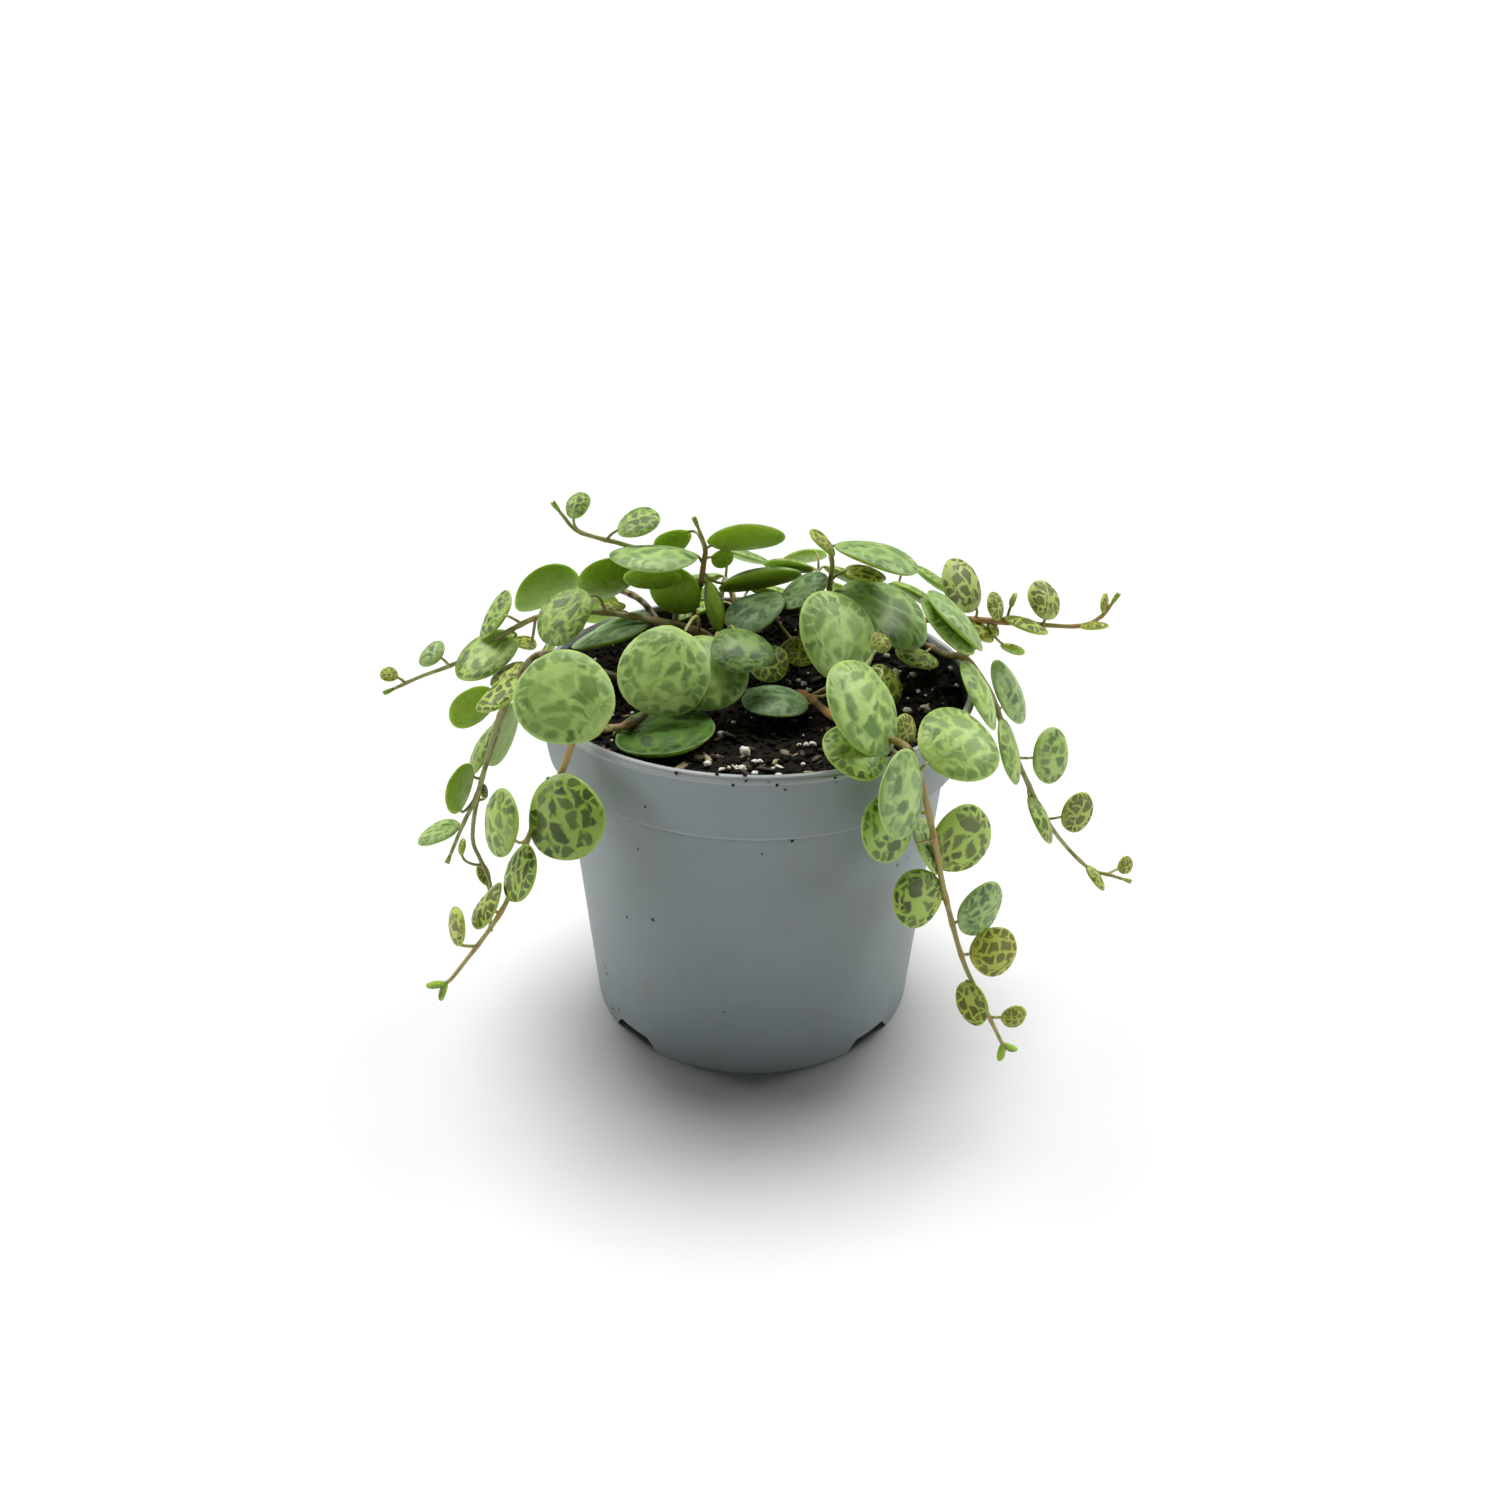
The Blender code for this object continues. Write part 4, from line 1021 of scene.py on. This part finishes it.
# %% What single leaves look like
# By stem and share: a leaf's age, from 0 for one that has just opened to 1 for a full-grown one, its tint,
# from -1 for a dark lush green to 1 for a pale grey one (on the first leaf of the front left stem the dark
# green is painted shade), and how far its margin is cupped up, as a share of its length.
YOUNG_LEAF, GROWN_LEAF = 4.5, 12.5
OWN_TRAITS = {
    # Painted shade: this cupped leaf lies in the shadow of the one above it, and its darkest tint stands for
    # that shadow.
    ("stem_front_left", 0.12): (0.80, -1.2, 0.09),
    ("stem_front_left", 0.22): (1.00, -0.3, 0.0),
    ("stem_front_left", 0.43): (0.36, -0.5, 0.0),
    ("stem_far_left", 0.04): (0.95, -0.4, 0.0),
    ("stem_far_left", 0.08): (0.95, 0.2, 0.0),
    ("stem_far_left", 0.16): (0.95, 0.2, 0.0),
    ("stem_far_left", 0.27): (0.80, 0.8, 0.02),
    ("stem_front_right", 0.03): (1.00, 0.1, 0.0),
    ("stem_front_right", 0.05): (0.95, -0.2, 0.0),
    ("stem_front_right", 0.08): (0.80, 1.0, 0.0),
    ("stem_front_right", 0.13): (0.00, 0.0, 0.0),
    ("stem_front_right", 0.58): (0.36, -0.3, 0.0),
    ("stem_front_right", 0.71): (0.50, 0.4, 0.0),
    ("stem_front_right", 0.78): (0.00, 0.0, 0.0),
    ("stem_right_upright", 0.50): (0.95, 0.6, 0.0),
    ("stem_right_sprig", 0.46): (0.15, 0.2, 0.0),
    ("stem_right_sprig", 0.69): (0.00, 0.2, 0.0),
    ("stem_left_outer", 0.50): (0.90, 0.1, 0.0),
    ("stem_left_outer", 0.88): (0.90, 0.1, 0.0),
    ("stem_far_left", 0.85): (0.55, 0.1, 0.0),
    ("stem_back_sprig", 0.74): (0.50, 0.2, 0.0),
    ("stem_back_sprig", 0.86): (0.55, 0.0, 0.0),
    ("stem_back_right", 0.03): (0.85, 1.0, 0.0),
    ("stem_back_right", 0.06): (0.85, 1.0, 0.0),
}


def traits_of(name, length, share):
    """Age, tint and cup of a leaf: as the photograph shows them, or by its length and place."""
    grown = (length - YOUNG_LEAF) / (GROWN_LEAF - YOUNG_LEAF)
    age = min(1, max(0, grown)) * (1 - 0.3 * share)
    return OWN_TRAITS.get((name, share), (age, 0.2 * age, 0))


print(len(OWN_TRAITS), "leaves have a look of their own")

# %% [markdown]
# A stem and a leaf stalk are both a round section that travels: it follows a path and changes its radius. A
# curve with a bevel would do, but its caps are loose and its swellings are hard to place. Here the section
# is a circle with a face, extruded again and again, and turned at each step by the path's own turn.

# %% A round section that travels
def sweep(bm, path, radii, sides):
    """Extrudes a disc along a path. Gives the ring of vertices at each of its places."""
    ways = [(b - a).normalized() for a, b in zip(path, path[1:])]
    ways = [ways[0], *[(a + b).normalized() for a, b in zip(ways, ways[1:])], ways[-1]]
    ring = bmesh.ops.create_circle(bm, cap_ends=True, segments=sides, radius=radii[0])["verts"]
    upright = Vector((0, 0, 1)).rotation_difference(ways[0]).to_matrix().to_4x4()
    bmesh.ops.transform(bm, matrix=Matrix.Translation(path[0]) @ upright, verts=ring)
    disc = ring[0].link_faces[0]
    rings = [ring]
    for i in range(1, len(path)):
        grown = bmesh.ops.extrude_face_region(bm, geom=[disc])["geom"]
        ring = [g for g in grown if isinstance(g, bmesh.types.BMVert)]
        disc = next(g for g in grown if isinstance(g, bmesh.types.BMFace))
        turn = ways[i - 1].rotation_difference(ways[i]).to_matrix().to_4x4()
        size = Matrix.Scale(radii[i] / radii[i - 1], 4)
        travel = Matrix.Translation(path[i]) @ turn @ size @ Matrix.Translation(-path[i - 1])
        bmesh.ops.transform(bm, matrix=travel, verts=ring)
        rings.append(ring)
    return rings


# %% [markdown]
# A leaf of this plant is a succulent lens, round in outline, a little wider past its middle, domed above and
# flatter below, with a soft thick margin. It could be a disc with Solidify and Bevel, but a ball is closer: a
# sphere has one ring for the margin and rings that crowd towards it. Its points are moved by a formula that
# flattens the ball and gives each leaf its own wobble, bend and twist. Where a point was on the ball is kept
# as an attribute, because the pattern of veins is drawn in those coordinates.

# %% One leaf blade
LEAF_EDGE = 0.8               # thickness near a leaf's margin
LEAF_CROWN = 0.085            # rise of the middle over the margin, as a share of the leaf's length
LEAF_BELLY = 0.035
LEAF_BROADER = 0.10           # how much wider the tip half is than the base half
LEAF_SHAPE = 0.97             # width over length
BLADE_SPOKES, BLADE_RINGS = 36, 18
WAVES = ((0.016, 2), (0.012, 3), (0.007, 5))    # of the outline: how far, and how often round the leaf
BASE_DIP = 0.06               # how far the outline of an old leaf dips in at the stalk
TIP_POINT = 0.05              # and how far that of a young one runs out to a point


class Layers:
    """What each vertex of a leafy stem knows about itself, for the materials."""

    def __init__(self, bm):
        numbers = bm.verts.layers.float
        self.blade = bm.verts.layers.float_vector.new("blade")
        self.seed = numbers.new("leaf_seed")
        self.age = numbers.new("leaf_age")
        self.tint_and_shade = numbers.new("leaf_tint_and_shade")
        self.share = numbers.new("stem_share")
        self.joint = numbers.new("stem_joint")
        self.blush = numbers.new("stem_blush")


def leaf_axes(root, middle, face):
    """The leaf's own axes: from its base to its tip, across, and out of its upper face."""
    lengthwise = middle - root
    lengthwise -= face * lengthwise.dot(face)
    lengthwise.normalize()
    return lengthwise, face.cross(lengthwise), face


def blade(heap, draw, middle, axes, length, width, traits, edge=LEAF_EDGE):
    """A succulent blade. It grows from the base at -X of its own axes to the tip at +X."""
    bm = bmesh.new()
    layers = Layers(bm)
    bend, fold, twist = draw.gauss(0, 0.018), draw.gauss(0.01, 0.02), draw.gauss(0, 0.03)
    phases = [draw.uniform(0, math.tau) for _ in range(3)]
    seed = draw.random()
    turn = Matrix(axes).transposed()
    age, tint_and_shade, cup = traits
    thin = edge * (0.72 + 0.28 * min(1, length / GROWN_LEAF))     # a small leaf is a little thinner
    bmesh.ops.create_uvsphere(bm, u_segments=BLADE_SPOKES, v_segments=BLADE_RINGS, radius=1)
    for v in bm.verts:
        v[layers.blade] = v.co
        v[layers.seed] = seed
        v[layers.age] = age
        v[layers.tint_and_shade] = tint_and_shade
        x, y, z = v.co
        r = min(1, math.hypot(x, y))
        angle = math.atan2(y, x)
        wobble = sum(far * math.sin(often * angle + phase) for (far, often), phase in zip(WAVES, phases))
        dip = BASE_DIP * math.exp(-((math.pi - abs(angle)) / 0.28) ** 2) * age
        point = TIP_POINT * math.exp(-(angle / 0.4) ** 2) * (1 - age)
        swell = 1 + wobble - dip + point
        crown = (LEAF_CROWN if z > 0 else -LEAF_BELLY) * length * (1 - r * r)
        half = math.copysign(thin / 2 * math.sqrt(max(0, 1 - r ** 6)), z) if abs(z) > 1e-6 else 0
        curl = length * (bend * x * x + fold * y * y + twist * x * y + cup * (r ** 4 - 0.5))
        lengthwise = x * swell * length / 2
        across = y * swell * width / 2 * (1 + LEAF_BROADER * x)
        v.co = middle + turn @ Vector((lengthwise, across, half + crown + curl))
    pour(heap, bm)


print("a blade has", BLADE_SPOKES, "spokes and", BLADE_RINGS, "rings")

# %% [markdown]
# A runner is as thick as a thin wire, and swells a little at each joint. Each leaf hangs on a short stalk,
# which leaves the stem, bends into the leaf's own direction and ends inside its thick base, as the solid's
# does. Both could be curve objects, but the travelling section lets each ring carry its share of the stem and
# its nearness to a joint, which the skin is coloured by.

# %% Stems and stalks
STEM_BASE = 0.56              # radius where a stem leaves the soil, a little under the solid's
STEM_TIP = 0.27
HOLE_DEPTH = 5.0
STEM_SIDES, STALK_SIDES = 12, 8
JOINT_LENGTH = 0.8            # how far a joint's swelling reaches, and how much thicker it is
JOINT_SWELL = 0.22
PETIOLE = 0.2                 # a stalk's radius
STALK_PIECES = 8
STALK_BEND = 0.4              # where it bends, as a share of its length, measured from the leaf
STALK_IN_LEAF = 0.7           # how far it reaches into the leaf


def grow_runner(heap, curve, shares, blush):
    """The stem itself, a little swollen at each joint."""
    bm = bmesh.new()
    layers = Layers(bm)
    root = Vector((curve[0].x, curve[0].y, SOIL_LEVEL - HOLE_DEPTH))
    path = [root, *curve]
    total = sum((b - a).length for a, b in zip(curve, curve[1:]))
    travelled = [0, *[sum((b - a).length for a, b in zip(curve[:i], curve[1:i + 1])) / total
                      for i in range(len(curve))]]
    joints = [sum(math.exp(-((at - share) * total / JOINT_LENGTH) ** 2) for share in shares)
              for at in travelled]
    radii = [(STEM_BASE + (STEM_TIP - STEM_BASE) * at) * (1 + JOINT_SWELL * min(1, joint))
             for at, joint in zip(travelled, joints)]
    for ring, at, joint in zip(sweep(bm, path, radii, STEM_SIDES), travelled, joints):
        for v in ring:
            v[layers.share] = at
            v[layers.joint] = min(1, joint)
            v[layers.blush] = blush
    pour_stem(heap, bm)


def pour_stem(heap, bm):
    """Pours a stem or a stalk, which has the stem's skin."""
    for face in bm.faces:
        face.material_index = 1
    pour(heap, bm)


def grow_stalk(heap, root, base, lengthwise, share):
    """A leaf's stalk: a bent path from the stem into the leaf's base. It is thickest at the stem."""
    bm = bmesh.new()
    layers = Layers(bm)
    bend = base - lengthwise * (base - root).length * STALK_BEND
    end = base + lengthwise * STALK_IN_LEAF
    shares = [i / STALK_PIECES for i in range(STALK_PIECES + 1)]
    path = [root * (1 - t) ** 2 + bend * 2 * t * (1 - t) + end * t * t for t in shares]
    radii = [PETIOLE * (1.25 - 0.5 * t + 0.3 * t * t) for t in shares]
    for t, ring in zip(shares, sweep(bm, path, radii, STALK_SIDES)):
        for v in ring:
            v[layers.share] = min(1, share + 0.5)
            v[layers.joint] = max(0, 0.8 - t)
    pour_stem(heap, bm)


print("a stem is", 2 * STEM_BASE, "mm thick at the soil and", 2 * STEM_TIP, "mm at its tip")

# %% [markdown]
# At the end of a runner stand its two youngest leaves. On most runners they are still pressed together, and
# on three of them they open in a V. A new shape could be drawn for them, but a bud is only a small leaf: the
# same blade is made narrow and thick, once for each side. Then a whole stem can be put together, with its
# leaves in the order of their rows, and each stem draws its chances from a seed of its own.

# %% Tips and whole stems
OPEN_TIP = (34.0, 2.9, 1.2, 0.8)      # the angle of each leaf to the stem, its length, width and thickness
CLOSED_TIP = (7.0, 2.1, 0.6, 0.45)
TIP_TRAITS = (0.6, 0, 0)
TIP_MIDDLE = 0.42                     # where such a leaf's middle lies, as a share of its length
TOWARDS_VIEWER = (0.2, -1, 0.3)       # the two leaves part across this way
WITH_OPEN_TIP = ("stem_front_left", "stem_front_right", "stem_back")
BLUSHING = {"stem_right_sprig": 1.0, "stem_front_left": 0.8, "stem_front_right": 0.5, "stem_upright": 0.5}


def grow_tip(heap, draw, curve, tip):
    """The two narrow leaves that end the stem."""
    opening, length, width, edge = tip
    end = curve[-1]
    onward = (end - curve[-3]).normalized()
    side = onward.cross(Vector(TOWARDS_VIEWER)).normalized()
    for sign in (-1, 1):
        turn = math.radians(opening) * sign
        out = onward * math.cos(turn) + side * math.sin(turn)
        face = (side * math.cos(turn) - onward * math.sin(turn)) * -sign
        axes = (out, face.cross(out), face)
        blade(heap, draw, end + out * length * TIP_MIDDLE, axes, length, width, TIP_TRAITS, edge)


def grow_stem(name, plan):
    """One leafy stem in a bmesh: material 0 on its leaves, 1 on its stem and stalks."""
    draw = random.Random(f"{SEED} leaves of {name}")
    bm = bmesh.new()
    coarse = smooth_route(plan["route"], COARSE_STEP)
    curve = smooth_route(plan["route"], FINE_STEP)
    grow_runner(bm, curve, [leaf[0] for leaf in plan["leaves"]], BLUSHING.get(name, 0))
    for share, x, y, z, heading, rise, length in plan["leaves"]:
        middle = Vector((x, y, z))
        axes = leaf_axes(along(coarse, share), middle, facing(heading, rise))
        grow_stalk(bm, along(curve, share), middle - axes[0] * length / 2, axes[0], share)
        blade(bm, draw, middle, axes, length, length * LEAF_SHAPE, traits_of(name, length, share))
    grow_tip(bm, draw, curve, OPEN_TIP if name in WITH_OPEN_TIP else CLOSED_TIP)
    return bm


print(len(WITH_OPEN_TIP), "of", len(STEMS), "tips are open")

# %% [markdown]
# The leaf's pattern is what makes this plant. Pale veins fan out from the base, dark fields lie between them,
# and a row of short dark dashes runs round the margin. A painted texture would repeat on every leaf. Drawn by
# formula it can differ: the fields are Voronoi cells in polar coordinates about the leaf's base, so they
# stretch along the veins, and the dashes are such cells about its middle, kept to a ring inside the margin.
# Young leaves are lime with sharp olive fields, old ones grey-green with soft ones.

# %% The leaf's skin
CELL_REACH = 0.68             # how far a dark field reaches from its cell's middle


def blotches(look, place, wander, vein, soft, faint):
    """Cells with a pale vein between them, which wanders: here it widens, there it closes and two cells run
    together. Each cell is as dark as chance makes it, from faint to full."""
    flat = {"voronoi_dimensions": "2D"}
    inputs = {"Vector": place, "Scale": 1, "Randomness": 0.95}
    edge = look.cells({**flat, "feature": "DISTANCE_TO_EDGE"}, inputs)
    edge = look.maths("MINIMUM", edge, CELL_REACH - look.cells(flat, inputs))
    chance, _, _ = look.split(look.cells(flat, inputs, "Color"))
    return look.step(edge + wander, vein, vein + soft) * (faint + (1 - faint) * chance)


def leaf_skin():
    look = Look("patterned_leaf", {"Subsurface Weight": 0.3, "Subsurface Radius": (0.9, 1.0, 0.25),
                                   "Subsurface Scale": 0.0015, "Specular IOR Level": 0.42})
    flat = look.attribute("blade", "Vector")
    seed = look.attribute("leaf_seed")
    age = look.attribute("leaf_age")
    tint_and_shade = look.attribute("leaf_tint_and_shade") + 0.7 * seed - 0.35
    own = look.vectors("ADD", flat, look.joined(seed * 37, seed * 53, seed * 71))
    _, _, side = look.split(flat)
    grown = look.step(age, 0.2, 0.6)
    vein = 0.07 - 0.10 * grown
    soft = 0.06 + 0.24 * grown
    faint = 0.85 - 0.4 * grown
    wander = (look.clouds(own, 2.8, 3) - 0.5) * (0.2 + 0.6 * grown)

    x, y, _ = look.split(look.vectors("MULTIPLY", look.strayed(flat, own, 2.4, 0.22), (1, 1, 0)))
    out = look.maths("SQRT", x * x + y * y)
    round_about = look.maths("ARCTAN2", y, x) * (2.3 + 0.9 * grown) + seed * 17
    dashes = look.joined(round_about, out * 2.4 + seed * 5)
    dashes = blotches(look, dashes, wander, vein, soft, faint)
    ring = look.step(out, 0.62, 0.74) * look.step(out, 0.99, 0.93) * look.step(x, -0.98, -0.6)
    dashes = dashes * ring

    bent = look.strayed(look.strayed(flat, own, 1.5, 0.3), own, 4.6, 0.16)
    bent_x, bent_y, _ = look.split(bent)
    across = look.maths("ABSOLUTE", bent_y)
    half = look.maths("GREATER_THAN", bent_y, 0)
    from_base = bent_x + 1.25
    reach = look.maths("SQRT", from_base * from_base + bent_y * bent_y)
    fan = look.maths("ARCTAN2", across, from_base)
    fields = look.joined(reach * 1.8 + seed * 61 + half * 9.4, fan * (2.2 + 0.5 * grown) + half * 3.1)
    fields = blotches(look, fields, wander, vein, soft, faint)
    fields = fields * look.step(across, 0.02, 0.09) * look.step(out, 0.76, 0.66)
    dark = look.maths("MAXIMUM", fields, dashes)
    haze = look.step(look.clouds(bent, 1.7, 3), 0.36, 0.66) * grown

    def by_age(opening, half_grown, full_grown):
        early = look.mixed(look.step(age, 0.05, 0.45), opening, half_grown)
        return look.mixed(look.step(age, 0.45, 1), early, full_grown)

    # Towards a tint of -1 the leaf turns a dark lush green; on the cupped leaf under a neighbour that green
    # is painted shade.
    def tinted(own_green, lush_and_shade, grey):
        darker = look.mixed(look.step(tint_and_shade, 0, -1), own_green, lush_and_shade)
        return look.mixed(look.step(tint_and_shade, 0, 1), darker, grey)

    pale = tinted(by_age(colour(178, 188, 72), colour(162, 190, 82), colour(172, 200, 112)),
                  colour(78, 116, 28), colour(152, 182, 126))
    deep = tinted(by_age(colour(104, 102, 16), colour(32, 60, 0), colour(58, 100, 16)),
                  colour(2, 20, 0), colour(50, 88, 42))
    middling = look.mixed(0.55, pale, deep)
    pale = look.mixed(haze * 0.6, pale, middling)
    upper = look.mixed(dark * (1 - 0.2 * grown), pale, deep)
    upper = look.mixed(look.step(out, 0.94, 0.99) * 0.3, upper, colour(150, 172, 92))
    under = look.mixed(look.clouds(own, 1.4, 3), colour(138, 182, 22), colour(176, 206, 66))
    under = look.mixed(dark * 0.22, under, colour(92, 130, 14))
    skin = look.mixed(look.step(side, -0.02, -0.2), upper, under)
    fine = look.clouds(own, 14, 2)
    return look.finish({"Base Color": skin, "Roughness": 0.36 + 0.14 * fine + 0.05 * dark,
                        "Normal": look.bump(0.4 * dark + 0.25 * fine + look.clouds(own, 3, 2), 0.14)})


# %% [markdown]
# A runner is greenest at its tip and turns tan and woody towards the soil, and it blushes orange wherever a
# stalk leaves it. One green would do for a toy, and a gradient over the height would be wrong, because the
# runners climb before they hang. So the share of the stem and the nearness of a joint, which the mesh knows
# for each ring, choose the colour, and streaks of noise run over both. The last stretch before the soil is
# painted darker, as painted shade under the leaves.

# %% The stem's skin
def stem_skin():
    look = Look("runner_skin", {"Subsurface Weight": 0.15, "Subsurface Radius": (1.0, 0.7, 0.3),
                                "Subsurface Scale": 0.0006})
    place = look.place()
    share = look.attribute("stem_share")
    joint = look.attribute("stem_joint")
    streaks = look.clouds(look.vectors("MULTIPLY", place, (1, 1, 0.35)), 1.7, 3)
    blush = look.attribute("stem_blush")
    tan = look.mixed(streaks, colour(112, 100, 56), colour(142, 132, 82))
    tan = look.mixed(blush * 0.8, tan, colour(176, 132, 78))
    green = look.mixed(streaks, colour(132, 142, 72), colour(160, 164, 100))
    green = look.mixed(blush * 0.5, green, colour(180, 142, 92))
    skin = look.mixed(look.step(share + 0.5 * (streaks - 0.5), 0.1, 0.75), tan, green)
    # Painted shade: the stem turns darker near the soil, where it lies under the leaves.
    skin = look.mixed(look.step(share, 0.24, 0.06), skin, colour(78, 68, 40))
    skin = look.mixed(joint * (0.35 + 0.3 * blush), skin, colour(170, 116, 58))
    return look.finish({"Base Color": skin, "Roughness": 0.38 + 0.2 * streaks,
                        "Normal": look.bump(streaks, 0.08)})


foliage_looks = [leaf_skin(), stem_skin()]
for name, plan in STEMS.items():
    hand_over(name.replace("stem_", "") + "_foliage", grow_stem(name, plan), foliage_looks, "foliage", name)

# %% [markdown]
# The photograph has a white studio: a pale table runs into a white background. The table could be white
# itself, but a white one would catch the light under the pot and fill its shadow. So it is a pale grey, and
# lamps of its own lift it to white. It is far larger than the view, so that no edge of it shows.

# %% The table
TABLE_SIZE = 6000
TABLE_FIELDS = 8              # along each side


def table_white():
    look = Look("table_white", {"Specular IOR Level": 0.2})
    place = look.place()
    shade = look.clouds(place, 0.02, 2)
    paper = look.mixed(shade, colour(180, 180, 180), colour(183, 183, 183))
    return look.finish({"Base Color": paper, "Roughness": 0.8 + 0.1 * shade})


table_bm = bmesh.new()
bmesh.ops.create_grid(table_bm, x_segments=TABLE_FIELDS, y_segments=TABLE_FIELDS, size=TABLE_SIZE * MM / 2)
table = placed("table", table_bm)
table.data.materials.append(table_white())
table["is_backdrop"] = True
TABLE = bpy.data.collections.new("table")
TABLE.objects.link(table)
print("table", TABLE_SIZE, "mm across")

# %% [markdown]
# Broad soft lights stand above and behind, which is why the pot is darkest in front and its shadow falls
# towards the camera. One set of lamps could light everything, but then the table's shadow and the sides of
# the pot can't both be right. The table's suns meet in the dark crescent before the foot, and the strongest
# takes no shadow from the leaves, because the photograph shows only faint ones beside the pot. The plant's
# suns stand further round, which lights the sides of the pot, and two weak boxes low in front keep the front
# wall and hanging leaves from going black.

# %% The lamps
AIM_HEIGHT = 0.04             # metres, as are the places of the lamps
BROAD = 34                    # degrees that a sun spans


def aimed(light, name, place, lit, casters=None):
    """Puts a light somewhere, in metres, aims it at the plant and says what it lights, and what shades it."""
    lamp = bpy.data.objects.new(name, light)
    bpy.context.scene.collection.objects.link(lamp)
    lamp.location = place
    aim = Vector((0, 0, AIM_HEIGHT)) - Vector(place)
    lamp.rotation_euler = aim.to_track_quat("-Z", "Y").to_euler()
    lamp.light_linking.receiver_collection = lit
    lamp.light_linking.blocker_collection = casters


def soft_box(name, place, side, watts, lit):
    """A square area light that looks at the plant."""
    light = bpy.data.lights.new(name, "AREA")
    light.shape = "SQUARE"
    light.size = side
    light.energy = watts
    aimed(light, name, place, lit)


def broad_light(name, place, strength, lit, casters=None):
    """A soft light that comes from one side and is as strong everywhere on the table."""
    light = bpy.data.lights.new(name, "SUN")
    light.energy = strength
    light.angle = math.radians(BROAD)
    aimed(light, name, place, lit, casters)


broad_light("overhead", (0.0, 0.36, 0.93), 2.1, PLANT)
broad_light("table_back", (0.0, 0.28, 1.0), 5.0, TABLE, POT_ALONE)
for side, sign in (("left", -1), ("right", 1)):
    broad_light("behind_" + side, (sign * 0.68, 0.38, 0.67), 1.8, PLANT)
    broad_light("table_" + side, (sign * 0.49, 0.41, 0.81), 1.65, TABLE)
    soft_box("low_" + side, (sign * 0.9, -0.34, 0.14), 0.5, 3.4, PLANT)
print(len(bpy.data.lights), "lamps")

# %% [markdown]
# The background has to be pure white, but a world that is white all round would light the front as much as
# the top, and the plant would lose its shadows. So the world is white where the camera looks straight at it,
# and gives the plant only a faint light.

# %% The world
ROOM_LIGHT = 0.05
SEEN_LIGHT = 1.05
world = bpy.data.worlds.new("studio")
world.use_nodes = True
air = world.node_tree
background = air.nodes["Background"]
background.inputs["Color"].default_value = (1, 1, 1, 1)
ray = air.nodes.new("ShaderNodeLightPath")
strength = air.nodes.new("ShaderNodeMapRange")
strength.inputs["To Min"].default_value = ROOM_LIGHT
strength.inputs["To Max"].default_value = SEEN_LIGHT
air.links.new(ray.outputs["Is Camera Ray"], strength.inputs["Value"])
air.links.new(strength.outputs["Result"], background.inputs["Strength"])
bpy.context.scene.world = world
bpy.context.scene.view_settings.view_transform = "Standard"
print("the world lights the plant with", ROOM_LIGHT, "and the camera with", SEEN_LIGHT)

# %% [markdown]
# At the end the finished model is measured against its solids. One could trust the eye, but two boxes in
# millimetres show at once if a piece has slipped or grown. Both are printed.

# %% The measured sizes
visual_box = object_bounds()
sizes = {"cad": [list(corner) for corner in CAD_BOX], "visual": [list(corner) for corner in visual_box]}
for label, (low, high) in sizes.items():
    print(label, "box is", [round((b - a) / MM, 1) for a, b in zip(low, high)], "mm")
